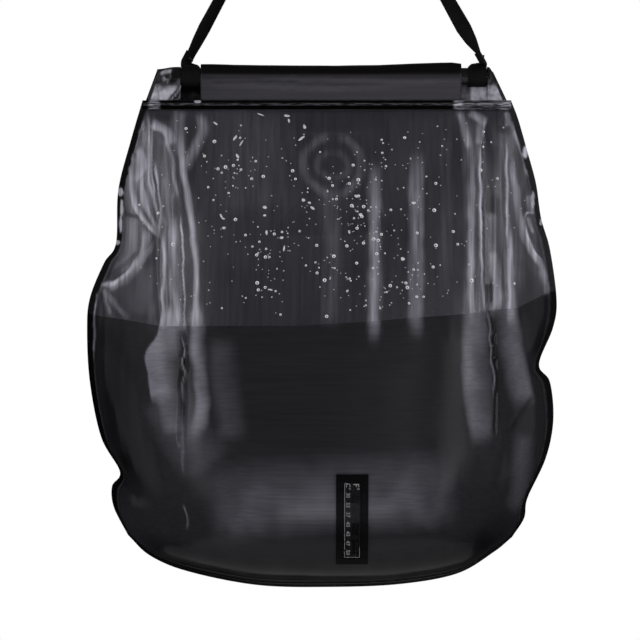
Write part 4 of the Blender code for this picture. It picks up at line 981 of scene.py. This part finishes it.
def hem_piece(name, stations, material, milk_and_sheen_share=None):
    """A folded sheet through stations of the hem's profile, with its thickness."""
    piece = grid_mesh(name, stations, -1, material)
    if milk_and_sheen_share is not None:
        paint(piece, "milk_and_sheen_share", milk_and_sheen_share)
    thickness = piece.modifiers.new("thickness", "SOLIDIFY")
    thickness.thickness = film_thickness
    thickness.offset = 0.0
    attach(piece, "bag")
    return piece


# Folded black PVC sheet: satin, with painted light on its front and in bands across it, and painted shade
# that keeps
# # it black over the crown, with drawn streaks along it that catch the light unevenly.
hem_sheet, tree, shader, _, tint = noise_material(
    "folded_black_pvc_sheet", (5.0, 380.0, 380.0), "#29282d", "#4e4b52", 3.0, (0.30, 0.46), (0.35, 0.0005),
    Specular_IOR_Level=0.22)
painted_light = add_node(tree, "ShaderNodeAttribute", {"attribute_name": "painted_light_share"}).outputs["Fac"]
lit_tint = add_node(tree, "ShaderNodeMix", {"data_type": "RGBA"}, _0=painted_light, _6=linear("#030203"), _7=tint)
set_inputs(tree, shader, Base_Color=lit_tint)

sleeve_grid = extruded(profile, np.linspace(left_cutout[1], right_cutout[0], sleeve_columns))
outwards = sleeve_grid - np.array([0, 0, rod_z])
outwards[..., 0] = 0
outwards /= np.maximum(np.linalg.norm(outwards, axis=-1, keepdims=True), 1e-9)
slack = np.abs(crumples(sleeve_grid, sleeve_crumples))
sleeve_grid += outwards * (slack * eased(sleeve_grid[..., 2], hem_z, hem_z + loose_height))[..., None]
crown_rise = np.interp(seen_from_front(sleeve_grid)[..., 0], *np.transpose(crown_rises)) / 1000
sleeve_grid[..., 2] += crown_rise * eased(sleeve_grid[..., 2], rod_z, hem_crown)
sleeve_piece = hem_piece("rod_sleeve_fold", sleeve_grid, hem_sheet)
# Painted light on the sleeve's front and in its highlight bands, fading to painted shade over the crown.
streaky = noise_over(sleeve_grid, 0.02, (0.15, 0.0, 3.0), 5.0)
painted_light = milkiness(seen_from_front(sleeve_grid), sleeve_highlights, painted_light_share) * (0.9 + 0.3 * streaky)
painted_light *= 1 - eased(sleeve_grid[..., 2] - rod_z, *lit_up_to)
paint(sleeve_piece, "painted_light_share", np.clip(painted_light, 0, 1))
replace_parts(sleeve_piece, "rod_sleeve")

# Crumpled clear film at the hem's outer ends: smoky where it lies on black, milky where it is creased, with
# painted
# # highlights on its crumples, and black along its slanted weld. The layer behind is black, so the creases
# show from the
# # front alone.
crumpled_end, tree, shader, cloud, tint = noise_material(
    "crumpled_clear_pvc_film", 110.0, "#060607", "#dcdae4", dulls=(0.25, 0.35), Specular_IOR_Level=0.4)
normal = add_node(tree, "ShaderNodeTexCoord").outputs["Normal"]
facing = add_node(tree, "ShaderNodeSeparateXYZ", Vector=normal).outputs["Y"]
in_front = add_node(tree, "ShaderNodeMapRange", _0=facing, _1=-0.5, _2=-0.1, _3=1.0, _4=0.05)
milk_and_sheen = milk_through(tree, cloud, 0.38, 0.62, 0.55, 1.0)
set_inputs(tree, tint, _0=add_node(tree, "ShaderNodeMath", {"operation": "MULTIPLY"}, _0=milk_and_sheen, _1=in_front))

end_columns = 60
end_crumples = ((0.012, (1, 0.3, 0.6), 0.0, 0.0010, 0), (0.006, (1, 0.3, 0.6), 4.0, 0.0002, 0))
end_weld_start, end_weld_end = 0.0040, 0.0055
left_end_lean, right_end_lean = 0.0165, 0.0196         # of the slanted weld, from its foot to its top
left_end_drop_share, right_end_drop_share = 0.05, 0.12
end_folds = (
    (2.0, 3, 5, ((149, 100), (153, 88), (164, 84.5), (179, 88))),
    (1.4, 3, 3, ((182, 82), (179, 92), (170, 101))),
    (1.6, 5, 4, ((160, 82), (163, 73), (173, 70))),
    (0.9, 2.5, 2.5, ((152, 84), (148, 101))),
    (0.9, 2.5, 2.5, ((155, 87), (154, 101))),
    (0.8, 2.5, 2.5, ((159, 88), (161, 101))),
    (1.6, 3, 4, ((489, 86), (498, 90), (506, 101))),
    (1.2, 3, 3, ((489, 94), (496, 97), (499, 103))),
    (1.2, 3, 3, ((492, 76), (498, 84), (503, 93))),
)
# Milky creases with painted highlights on the crumples, and darker streaks (negative), written like the
# folds.
end_milk_and_sheen_lines = (
    (0.75, 7, 9, ((150, 99), (156, 94), (166, 93), (180, 91))),
    (0.60, 5, 4, ((151, 98), (160, 99), (172, 98))),
    (0.75, 2, 4, ((152, 84), (152, 91), (150, 99))),
    (-0.45, 1.2, 1.2, ((155, 86), (157, 94), (158, 102))),
    (-0.30, 1.0, 1.0, ((161, 88), (163, 95), (163, 102))),
    (0.70, 2.5, 2, ((160, 74), (165, 72), (172, 71))),
    (0.35, 2, 2, ((163, 77), (166, 79), (170, 80))),
    (-0.95, 1.5, 14, ((184, 78), (178, 87), (172, 95.5), (164, 106))),
    (-0.95, 4, 11, ((181, 84), (176.5, 92), (173, 98), (170, 106))),
    (0.45, 1.0, 1.0, ((184, 79), (180, 88), (174, 96.5), (167, 105))),
    (0.85, 5, 6, ((486, 93), (494, 91), (500, 95), (504, 100))),
    (0.80, 5, 4, ((485, 99), (496, 98), (507, 103))),
    (-0.40, 1.2, 1.2, ((487, 95), (497, 97), (503, 104))),
)


def end_stations(cut_x, top_x, foot_x, drop_share, seed):
    """The end's stations from the cut-out to the slanted weld, with its creases."""
    share = np.linspace(0, 1, end_columns)[:, None]
    closed_share = eased(share, 0.25, 0.97)
    height = (profile[:, 1] - hem_foot) / (hem_crown - hem_foot)
    weld_x = foot_x + (top_x - foot_x) * height
    flat_y = np.clip(profile[:, 0], -lip_y, lip_y)
    x = cut_x + (weld_x - cut_x) * share
    y = profile[:, 0] * (1 - closed_share) + flat_y * closed_share
    z = profile[:, 1] - (profile[:, 1] - hem_foot) * drop_share * eased(share, 0.2, 1.0)
    stations = np.stack([x, y, z], -1)
    seen = seen_from_front(stations)
    crumple = fold_height(seen, end_folds) + crumples(stations, end_crumples, seed=seed, one_way=True)
    freedom = eased(share, 0.0, 0.15) * (1 - eased(share, 0.84, 0.97))
    freedom = freedom * eased(stations[..., 2], hem_z, hem_z + 0.004)
    stations[..., 1] += np.sign(profile[:, 0])[None, :] * crumple * freedom
    from_weld = (1 - share) * np.abs(weld_x - cut_x)
    return stations, milkiness(seen, end_milk_and_sheen_lines, 0.0) * eased(from_weld, end_weld_start, end_weld_end)


left_end, left_milk_and_sheen = end_stations(left_cutout[0], left_foot_x + left_end_lean, left_foot_x,
                                   left_end_drop_share, 5.0)
right_end, right_milk_and_sheen = end_stations(right_cutout[1], right_foot_x - right_end_lean, right_foot_x,
                                     right_end_drop_share, 9.0)
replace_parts(hem_piece("hem_end_left", left_end[::-1], crumpled_end, left_milk_and_sheen[::-1]), "sleeve_end_left")
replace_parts(hem_piece("hem_end_right", right_end, crumpled_end, right_milk_and_sheen), "sleeve_end_right")

# The flaps hang clear of the strap's loops, and crumple down to the weld when the bag is swung over.
# The left one is black, and the right one milky but for its inner side.
flap_profile = ((0.0022, -0.3375), (0.0022, -0.3290), (0.0064, -0.3276), (0.0072, -0.3200), (0.0098, -0.3130),
                (0.0125, -0.3070))
flap_crumples = ((0.006, (1, 1, 0.35), 0.0, 0.0011, 0), (0.003, (1, 1, 0.5), 3.0, 0.0002, 0))
flap_columns, flap_overlap = 40, 0.0012
loose_from, loose_to = -0.3270, -0.3230          # heights between which a flap's crumples set in
clear_from, clear_to, least_flap_share = 0.1525, 0.1560, 0.22
for name, (start, end), milk_share, seed in (("hem_flap_left", left_cutout, 0.0, 2.0),
                                             ("hem_flap_right", right_cutout, 1.0, 6.0)):
    xs = np.linspace(start - flap_overlap, end + flap_overlap, flap_columns)
    flap = extruded(smooth_path(flap_profile, 6), xs)
    crumple = crumples(flap, flap_crumples, seed=seed, one_way=True)
    flap[..., 1] += crumple * eased(flap[..., 2], loose_from, loose_to)
    outer = eased(flap[..., 0], clear_from, clear_to)
    flap_milk = milk_share * (least_flap_share + (1 - least_flap_share) * outer)
    flap_piece = hem_piece(name, flap, crumpled_end, flap_milk)
    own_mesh(flap_piece)


# Hem weld: the heated bar leaves two black ridges with a flat land between them; towards the ends
# the clear film's edge shows in it, milky and uneven.
weld_film, tree, shader, cloud, tint = noise_material(
    "welded_black_pvc_seam", (90.0, 1.0, 700.0), "#020202", "#c6c4ce", 3.0, Roughness=0.35,
    Specular_IOR_Level=0.04)
set_inputs(tree, tint, _0=milk_through(tree, cloud, 0.42, 0.60, 0.1, 1.0))

weld_columns, weld_rows = 420, 30
land_milk, end_milk = 0.10, 0.80        # between the ridges all along, and at the ends
weld_thickness, rib_height = 0.0010, 0.0006
weld_ribs = ((0.16, 0.15), (0.79, 0.25))        # each ridge's middle and half width, as shares of the lip
weld_wave_size, weld_wave_height = 0.010, 0.0012
# A painted glint on the weld's top edge, drawn into its milky share.
weld_glint = (197.5, 101.5, 3.4, 1.8)           # in the front view
# The clear film's edge: where it shows at the left, round a middle, and how far in from the right end.
left_mark, left_mark_fade = 0.013, (0.003, 0.008)
right_mark_fade, right_clear_fade, right_tip_fade = (0.061, 0.065), (0.050, 0.056), (0.006, 0.016)
dim_share = 0.35
weld_xs = np.linspace(left_foot_x, right_foot_x, weld_columns)
fall = np.linspace(0, 1, weld_rows)
ribs = sum(np.clip(1 - ((fall - middle) / half) ** 4, 0, 1) for middle, half in weld_ribs)
weld_back = -(lip_y + film_thickness / 2 + lip_gap)
weld_grid = np.zeros((weld_columns, weld_rows + 2, 3))
weld_grid[..., 0] = weld_xs[:, None]
weld_grid[:, 1:-1, 1] = weld_back - weld_thickness - rib_height * ribs
weld_grid[:, 0, 1] = weld_grid[:, -1, 1] = weld_back
weld_grid[:, 1:-1, 2] = hem_z - lip_height * fall
weld_grid[:, 0, 2], weld_grid[:, -1, 2] = hem_z, hem_z - lip_height
to_right = right_foot_x - weld_xs
left_share = 1 - eased(np.abs(weld_xs - left_foot_x - left_mark), *left_mark_fade)
clearest = np.maximum(eased(to_right, *right_clear_fade), 1 - eased(to_right, *right_tip_fade))
right_share = (1 - eased(to_right, *right_mark_fade)) * (dim_share + (1 - dim_share) * clearest)
end_share = np.maximum(left_share, right_share)[:, None]
wave = noise_over(weld_grid, weld_wave_size, (1, 0, 0.4), 3.0)
weld_grid[:, 1:-1, 1] -= (np.abs(wave) * weld_wave_height * end_share)[:, 1:-1]
weld_milk = np.zeros(weld_grid.shape[:-1])
land_share, rib_share = np.clip(1 - ribs * 1.5, 0, 1), np.clip(1.2 - ribs * 0.8, 0, 1)
weld_milk[:, 1:-1] = land_milk * land_share + end_milk * end_share * rib_share
weld_seam = grid_mesh("hem_weld_seam", weld_grid, -1, weld_film)
paint(weld_seam, "milk_and_sheen_share", np.maximum(weld_milk, patch_share(seen_from_front(weld_grid), (weld_glint,))))
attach(weld_seam, "bag")
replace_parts(weld_seam, "hem_weld")


# Hanger rod: an extruded black PVC tube with a push-in plug in each end, free to turn in the hem.
# It is satin, with fine lines drawn along it by the die.
rod_tube = noise_material("extruded_black_pvc_tube", (20.0, 900.0, 900.0), "#060607", "#101011",
                          dulls=(0.25, 0.40), Specular_IOR_Level=0.4)[0]


def finish_nodes(material, *names):
    """Gives CAD pieces their material."""
    for name in names:
        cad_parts[name].data.materials.clear()
        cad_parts[name].data.materials.append(material)


finish_nodes(rod_tube, "hanger_rod", "rod_plug_left", "rod_plug_right")


# Strap: black polyester webbing, 20 mm wide and 1.6 mm thick, looped round the rod in both cut-outs and
# sewn back on itself. Its weft stands up as cross ribs, which also give the edges their fine teeth.
strap_width, strap_thickness, strap_bend_radius = 0.020, 0.0016, 0.010
loop_pinch_height, loop_tail_height = 0.015, 0.026
right_loop_shift, left_leg_shift, right_leg_shift = 0.003, 0.0057, 0.0071
# The legs' twist from level at the tail's end, at the middle share of the leg and at the top, in degrees.
left_twist, right_twist = (71.0, 57.0, 90.0), (72.0, 31.0, 90.0)
middle_twist_share, neck_shares, sewn_shares = 0.12, (0.33, 0.67), (1.0, 0.5, 0.2, 0.0)
loop_steps, leg_steps, bend_steps = 18, 20, 10
loop_radius = rod_radius + rod_clearance + strap_thickness / 2
layer_gap = 0.0002           # half the gap between the two sewn layers
layer_offset = strap_thickness / 2 + layer_gap
bend_z = strap_thickness / 2 - strap_bend_radius
rib_spacing, rib_width_share = 0.0018, 0.92
rib_proud = 0.0002

# Woven polyester: matt and near black, with the fuzz of its fibres.
webbing = noise_material("woven_black_polyester_webbing", 900.0, "#020202", "#0b0b0c", bump=(0.5, 0.0003),
                         Roughness=0.6, Specular_IOR_Level=0.15)[0]


def leg_lean(run):
    """Angle of a leg from upright, from its loop to the bend over the hook."""
    rise = bend_z - rod_z - loop_pinch_height
    return math.atan2(run, rise) - math.asin(strap_bend_radius / math.hypot(run, rise))


def strap_side(loop_x, leg_x, twists):
    """(place, width direction) from the sewn tail, round the rod and up one leg to the hook's bend."""
    side = math.copysign(1.0, leg_x)
    lean = leg_lean(abs(leg_x))
    base = Vector((leg_x, 0.0, rod_z + loop_pinch_height))
    top = Vector((side * math.cos(lean), 0.0, math.sin(lean))) * strap_bend_radius
    top.z += bend_z
    along = (top - base).normalized()
    level = Vector((0.0, 1.0, 0.0)).cross(along)
    tail_share = (loop_tail_height - loop_pinch_height) / (top.z - base.z)

    def layer_point(share, offset):
        angle = math.radians(np.interp(share, (tail_share, middle_twist_share, 1.0), twists))
        width = level * math.cos(angle) + Vector((0.0, math.sin(angle), 0.0))
        return base.lerp(top, share) + along.cross(width) * offset, width

    path = [layer_point(tail_share * share, layer_offset) for share in sewn_shares]
    reach = math.hypot(layer_offset, loop_pinch_height)
    first = math.pi / 2 - math.atan2(layer_offset, loop_pinch_height) - math.acos(loop_radius / reach)
    tangent_y, tangent_z = loop_radius * math.cos(first), loop_radius * math.sin(first)
    neck = []
    for share in neck_shares:
        angle = math.radians(twists[0]) * (1.0 - share) ** 2
        width = Vector((math.cos(angle), math.sin(angle), 0.0))
        y = layer_offset + (tangent_y - layer_offset) * share
        z = rod_z + loop_pinch_height + (tangent_z - loop_pinch_height) * share
        neck.append((loop_x + (leg_x - loop_x) * (1.0 - share) ** 3, y, z, width))
    path += [(Vector((x, y, z)), width) for x, y, z, width in neck]
    for i in range(loop_steps + 1):
        turn = first - (math.pi + 2 * first) * i / loop_steps
        place = Vector((loop_x, loop_radius * math.cos(turn), rod_z + loop_radius * math.sin(turn)))
        path.append((place, Vector((1.0, 0.0, 0.0))))
    path += [(Vector((x, -y, z)), width) for x, y, z, width in reversed(neck)]
    leg_places = [tail_share * share for share in reversed(sewn_shares[1:])]
    leg_places += [tail_share + (1.0 - tail_share) * i / leg_steps for i in range(leg_steps + 1)]
    for share in leg_places:
        path.append(layer_point(share, -layer_offset * max(0.0, 1.0 - share / middle_twist_share)))
    return path


loop_left_x, loop_right_x = sum(left_cutout) / 2, sum(right_cutout) / 2 + right_loop_shift
leg_left_x, leg_right_x = loop_left_x - left_leg_shift, loop_right_x + right_leg_shift
start, end = math.pi - leg_lean(-leg_left_x), leg_lean(leg_right_x)
bend = []
for i in range(1, bend_steps):
    turn = start + (end - start) * i / bend_steps
    place = Vector((math.cos(turn), 0.0, math.sin(turn))) * strap_bend_radius + Vector((0.0, 0.0, bend_z))
    bend.append((place, Vector((0.0, 1.0, 0.0))))
strap_path = strap_side(loop_left_x, leg_left_x, left_twist) + bend
strap_path += strap_side(loop_right_x, leg_right_x, right_twist)[::-1]


def ribbed_points(path, spacing):
    """Places every spacing along a path of (place, width direction), and their turns as Euler angles."""
    places, widths = [np.array(column) for column in zip(*path)]
    run = np.concatenate([[0.0], np.cumsum(np.linalg.norm(np.diff(places, axis=0), axis=1))])

    def at(stop, rows):
        return Vector([np.interp(stop, run, axis) for axis in rows.T])

    points, turns = [], []
    for stop in np.arange(spacing / 2, run[-1], spacing):
        tangent = (at(stop + spacing / 2, places) - at(stop - spacing / 2, places)).normalized()
        width = at(stop, widths).normalized()
        normal = tangent.cross(width).normalized()
        points.append(at(stop, places))
        turns.append(Matrix((width.cross(-normal), normal, width)).transposed().to_euler())
    return points, turns


bars, given = nodes_group("bars_at_points", (("Length", "NodeSocketFloat"), ("Width", "NodeSocketFloat"),
                                             ("Height", "NodeSocketFloat"), ("Finish", "NodeSocketMaterial")))
turn_of = add_node(bars, "GeometryNodeInputNamedAttribute", {"data_type": "FLOAT_VECTOR"}, Name="turn")
spindle = add_node(bars, "GeometryNodeMeshCylinder", Vertices=8, Radius=0.5, Depth=1.0)
size = add_node(bars, "ShaderNodeCombineXYZ", X=given["Width"], Y=given["Height"], Z=given["Length"])
end_with_copies(bars, given["Geometry"], spindle, turn_of, size, given["Finish"])


def bars_along(name, points, turns, length, width, height, material):
    """Rounded bars at the points, one plain mesh."""
    mesh = bpy.data.meshes.new(name + "_points")
    mesh.from_pydata(points, [], [])
    values = np.array(turns, dtype=float).reshape(-1)
    mesh.attributes.new("turn", "FLOAT_VECTOR", "POINT").data.foreach_set("vector", values)
    sizes = {"Length": length, "Width": width, "Height": height, "Finish": material}
    return made_with_nodes(name, into_scene(name + "_points", mesh), bars, sizes)


strap_ribs = bars_along("strap_ribs", *ribbed_points(strap_path, rib_spacing), strap_width + rib_proud * 2,
                        rib_spacing * rib_width_share, strap_thickness + rib_proud * 2, webbing)
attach(strap_ribs, "strap")
finish_nodes(webbing, "hanging_strap")

# Bar tacks: close zigzag stitches of black bonded thread through both layers, with a soft sheen.
sewing_thread = noise_material("bonded_black_polyester_thread", 2500.0, "#0b0b0c", "#1c1c1e", 1.0,
                               Roughness=0.5)[0]
stitch_count, stitch_slant = 13, 9.0
stitch_spacing, stitch_length, stitch_width, stitch_height = 0.00085, 0.0032, 0.0006, 0.0012
for side in ("left", "right"):
    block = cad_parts["bar_tack_" + side].data
    corners = np.array(list({tuple(round(c, 6) for c in v.co): v.co.copy() for v in block.vertices}.values()))
    middle = corners.mean(axis=0)
    wide, tall = [Vector(axis) for axis in np.linalg.svd(corners - middle)[2][:2]]
    normal = wide.cross(tall).normalized()
    points, turns = [], []
    for i in range(stitch_count):
        slant = math.radians(stitch_slant if i % 2 else -stitch_slant)
        along = (tall * math.cos(slant) + wide * math.sin(slant)).normalized()
        points.append(Vector(middle) + wide * ((i - stitch_count // 2) * stitch_spacing))
        turns.append(Matrix((along.cross(normal), normal, along)).transposed().to_euler())
    stitches = bars_along("tack_stitches_" + side, points, turns, stitch_length, stitch_width, stitch_height,
                          sewing_thread)
    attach(stitches, "strap")
finish_nodes(sewing_thread, "bar_tack_left", "bar_tack_right")


# Thermometer: a raised case of soft black PVC welded to the film, with a liquid crystal strip under a
# clear cover. The strip has a plain scale at the left and a row of dark crystal windows at the right.

# Moulded soft PVC: black, matt and finely grained, hardly glossy.
soft_moulding = noise_material("moulded_soft_black_pvc", 700.0, "#020203", "#070708", 3.0, (0.32, 0.48),
                               (0.25, 0.0002), Specular_IOR_Level=0.05)[0]
# The strip's ground, its pale worn print and its windows, all silk-screened and matt.
crystal_strip = noise_material("printed_liquid_crystal_strip", 220.0, "#060607", "#0d0d0e", Roughness=0.45,
                               Specular_IOR_Level=0.1)[0]
scale_ink = noise_material("pale_scale_print", 900.0, "#4c4c4d", "#b8b8b6", Roughness=0.6)[0]
crystal_window = noise_material("dark_crystal_window", 160.0, "#020202", "#070708", Roughness=0.35,
                                Specular_IOR_Level=0.06)[0]
# Clear cover: nearly unseen but for its smeary gloss.
cover_film = noise_material("clear_cover_film", 120.0, "#101012", "#101012", dulls=(0.08, 0.2),
                            Specular_IOR_Level=0.15, Alpha=0.06)[0]

strip_low, strip_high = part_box("thermometer_strip")
strip_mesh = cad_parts["thermometer_strip"].data
strip_tree = BVHTree.FromPolygons([v.co for v in strip_mesh.vertices],
                                  [p.vertices for p in strip_mesh.polygons])
print_height = 0.00012
line_width = 0.0004
letter_size_share = 1.4      # of a font's size to its letters' height
celsius_height, fahrenheit_height, number_height = 0.0048, 0.0062, 0.0042
scale_numbers = (30, 33, 37, 40, 43, 47, 50)
first_number_share, number_step_share = 0.160, 0.127
scale_share, window_share, window_width_share = 0.24, 0.70, 0.5
celsius_place, fahrenheit_place = (0.24, 0.05), (0.72, 0.055)
frame_width_share, frame_height_share, frame_steps = 0.92, 0.98, 16
short_side_share, short_top_share = 0.14, 0.2
window_shares = ((0.22, 0.10), (0.37, 0.10), (0.59, 0.20), (0.84, 0.20))      # places down and heights


def printed(name, outlines, material):
    """Flat marks laid on the strip: each is (points as x and z, faces)."""
    points, faces = [], []
    for marks, mark_faces in outlines:
        faces += [tuple(i + len(points) for i in face) for face in mark_faces]
        for x, z in marks:
            over = Vector((min(max(x, strip_low.x + line_width), strip_high.x - line_width), -0.3,
                           min(max(z, strip_low.z + line_width), strip_high.z - line_width)))
            hit = strip_tree.ray_cast(over, Vector((0.0, 1.0, 0.0)))[0]
            points.append((x, hit.y - print_height, z))
    mesh = bpy.data.meshes.new(name)
    mesh.from_pydata(points, [], faces)
    work = bmesh.new()
    work.from_mesh(mesh)
    bpy.data.meshes.remove(mesh)
    for face in work.faces:
        if face.normal.y > 0:
            face.normal_flip()
    piece = mesh_piece(name, work, material)
    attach(piece, "bag")


def rectangle(x, z, width, height, rows=6):
    zs = np.linspace(z - height / 2, z + height / 2, rows + 1)
    marks = [(x + side * width / 2, zz) for zz in zs for side in (-1, 1)]
    return marks, [(2 * i, 2 * i + 1, 2 * i + 3, 2 * i + 2) for i in range(rows)]


def characters(text, place, height):
    """A text's filled outline with its middle at the place, turned a quarter to the right."""
    curve = bpy.data.curves.new("scale_text", "FONT")
    curve.body = text
    curve.size = height * letter_size_share
    curve.resolution_u = 2
    curve.align_x, curve.align_y = "CENTER", "CENTER"
    holder = into_scene("scale_text", curve)
    mesh = evaluated_mesh(holder)
    marks = [(place[0] + v.co.y, place[1] - v.co.x) for v in mesh.vertices]
    faces = [tuple(p.vertices) for p in mesh.polygons]
    bpy.data.objects.remove(holder)
    bpy.data.meshes.remove(mesh)
    return marks, faces


def on_strip(across, down):
    """x and z of a place on the strip, as shares of its width and height from the top left."""
    x = strip_low.x + (strip_high.x - strip_low.x) * across
    return x, strip_high.z - (strip_high.z - strip_low.z) * down


scale_marks = [characters("C°", on_strip(*celsius_place), celsius_height),
               characters("F°", on_strip(*fahrenheit_place), fahrenheit_height)]
for i, number in enumerate(scale_numbers):
    place = on_strip(scale_share, first_number_share + i * number_step_share)
    scale_marks.append(characters(str(number), place, number_height))
middle_x, middle_z = on_strip(0.5, 0.5)
frame_width = (strip_high.x - strip_low.x) * frame_width_share
frame_height = (strip_high.z - strip_low.z) * frame_height_share
frame_left, frame_right = middle_x - frame_width / 2, middle_x + frame_width / 2
frame_top, frame_foot = middle_z + frame_height / 2, middle_z - frame_height / 2
short_side, short_top = frame_height * short_side_share, frame_width * short_top_share
scale_marks += [rectangle(frame_left, middle_z, line_width, frame_height, frame_steps),
                rectangle(middle_x, frame_foot, frame_width, line_width, 1),
                rectangle(frame_right, frame_foot + short_side / 2, line_width, short_side, 3),
                rectangle(frame_left + short_top / 2, frame_top, short_top, line_width, 1)]
printed("thermometer_scale", scale_marks, scale_ink)
windows = [rectangle(*on_strip(window_share, down), frame_width * window_width_share, frame_height * tall)
           for down, tall in window_shares]
printed("thermometer_windows", windows, crystal_window)
finish_nodes(soft_moulding, "thermometer_pad")
finish_nodes(crystal_strip, "thermometer_strip")
finish_nodes(cover_film, "thermometer_cover")


# Fill port and outlet, behind: soft PVC flanges welded to the back sheet carry a threaded neck and a
# barbed spigot of polypropylene; the cap is held by a soft leash, the spigot closed by a pull-off cap.
# Moulded polypropylene is black and satin, with the mould's fine spark grain.
moulded = noise_material("moulded_black_polypropylene", 1400.0, "#0a0a0b", "#161617", bump=(0.2, 0.0001),
                         Roughness=0.36)[0]
finish_nodes(moulded, "fill_neck", "fill_cap", "leash_button", "outlet_spigot")
finish_nodes(soft_moulding, "fill_flange", "leash_collar", "cap_gasket", "outlet_flange", "outlet_cap",
             "outlet_seal")

# Cap leash: a moulded strip of soft PVC with an eye round the cap's button, clear of the cap's side. Its
# foot stays on the neck's collar, and it stretches straight as the cap is screwed off.
leash_width, leash_thickness, leash_reach, foot_gap = 0.008, 0.0016, 0.0045, 0.0003
eye_bore, eye_sides, leash_corner = 0.0024, 32, 0.0005


def node_round(node):
    """Middle and radius of a turned node whose axis lies front to back."""
    low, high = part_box(node)
    return (low + high) / 2, (high.x - low.x) / 2


def rounded_section(width, thickness, steps=3):
    """(across, through) round a rectangle with soft corners."""
    points = []
    for quarter, (side, face) in enumerate(((1, 1), (-1, 1), (-1, -1), (1, -1))):
        for turn in quarter * math.pi / 2 + np.linspace(0, math.pi / 2, steps):
            points.append((side * (width / 2 - leash_corner) + leash_corner * math.cos(turn),
                           face * (thickness / 2 - leash_corner) + leash_corner * math.sin(turn)))
    return points


def tube_piece(name, rings, closed):
    """A skin over rings of points, closed on itself or with a face on both ends."""
    work = bmesh.new()
    rows = [[work.verts.new(point) for point in ring] for ring in rings]
    for near, far in zip(rows, rows[1:] + (rows[:1] if closed else [])):
        for i in range(len(near)):
            work.faces.new((near[i], near[i - 1], far[i - 1], far[i]))
    if not closed:
        work.faces.new(rows[0])
        work.faces.new(rows[-1])
    bmesh.ops.recalc_face_normals(work, faces=work.faces)
    return mesh_piece(name, work)


cap_radius = node_round("fill_cap")[1]
heel, collar_radius = node_round("leash_collar")
heel_y = heel.y
eye_radius = node_round("leash_button")[1]
eye_middle = (eye_bore + eye_radius) / 2
eye_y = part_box("cap_leash")[1].y - leash_thickness / 2
side_y = (heel_y + eye_y) / 2
beside_cap = cap_radius + leash_reach
# The strip's route from the eye over the cap's face and down its side to the collar: y, and how far out.
bends = ((eye_y, eye_middle), (eye_y, cap_radius * 0.5), (eye_y, cap_radius * 0.87),
         (eye_y - leash_thickness, cap_radius + leash_reach * 0.45), (side_y + leash_thickness, beside_cap),
         (side_y - leash_thickness * 2, beside_cap),
         (heel_y + leash_thickness * 0.7, cap_radius + leash_reach * 0.6), (heel_y, collar_radius + foot_gap))
route = smooth_path([(port_x, y, port_z - out) for y, out in bends], 8)
along = np.gradient(route, axis=0)
along /= np.linalg.norm(along, axis=1, keepdims=True)
section = rounded_section(leash_width, leash_thickness)
strip_rings = [[place + np.array((across, 0.0, 0.0)) + np.cross(way, (1.0, 0.0, 0.0)) * through
                for across, through in section] for place, way in zip(route, along)]
eye_section = rounded_section(eye_radius - eye_bore, leash_thickness)
eye_rings = [[(port_x + (eye_middle + across) * math.cos(turn), eye_y + through,
               port_z + (eye_middle + across) * math.sin(turn)) for across, through in eye_section]
             for turn in np.linspace(0, 2 * math.pi, eye_sides, endpoint=False)]
eye = tube_piece("leash_eye", eye_rings, True)
strip = tube_piece("leash_strip", strip_rings, False)
joined = strip.modifiers.new("eye", "BOOLEAN")
joined.operation = "UNION"
joined.object = eye
leash_mesh = evaluated_mesh(strip)
leash_mesh.materials.clear()
leash_mesh.materials.append(soft_moulding)
soft_leash = into_scene("soft_cap_leash", leash_mesh)
bpy.data.objects.remove(strip)
bpy.data.objects.remove(eye)
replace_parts(soft_leash, "cap_leash")
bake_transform(soft_leash)
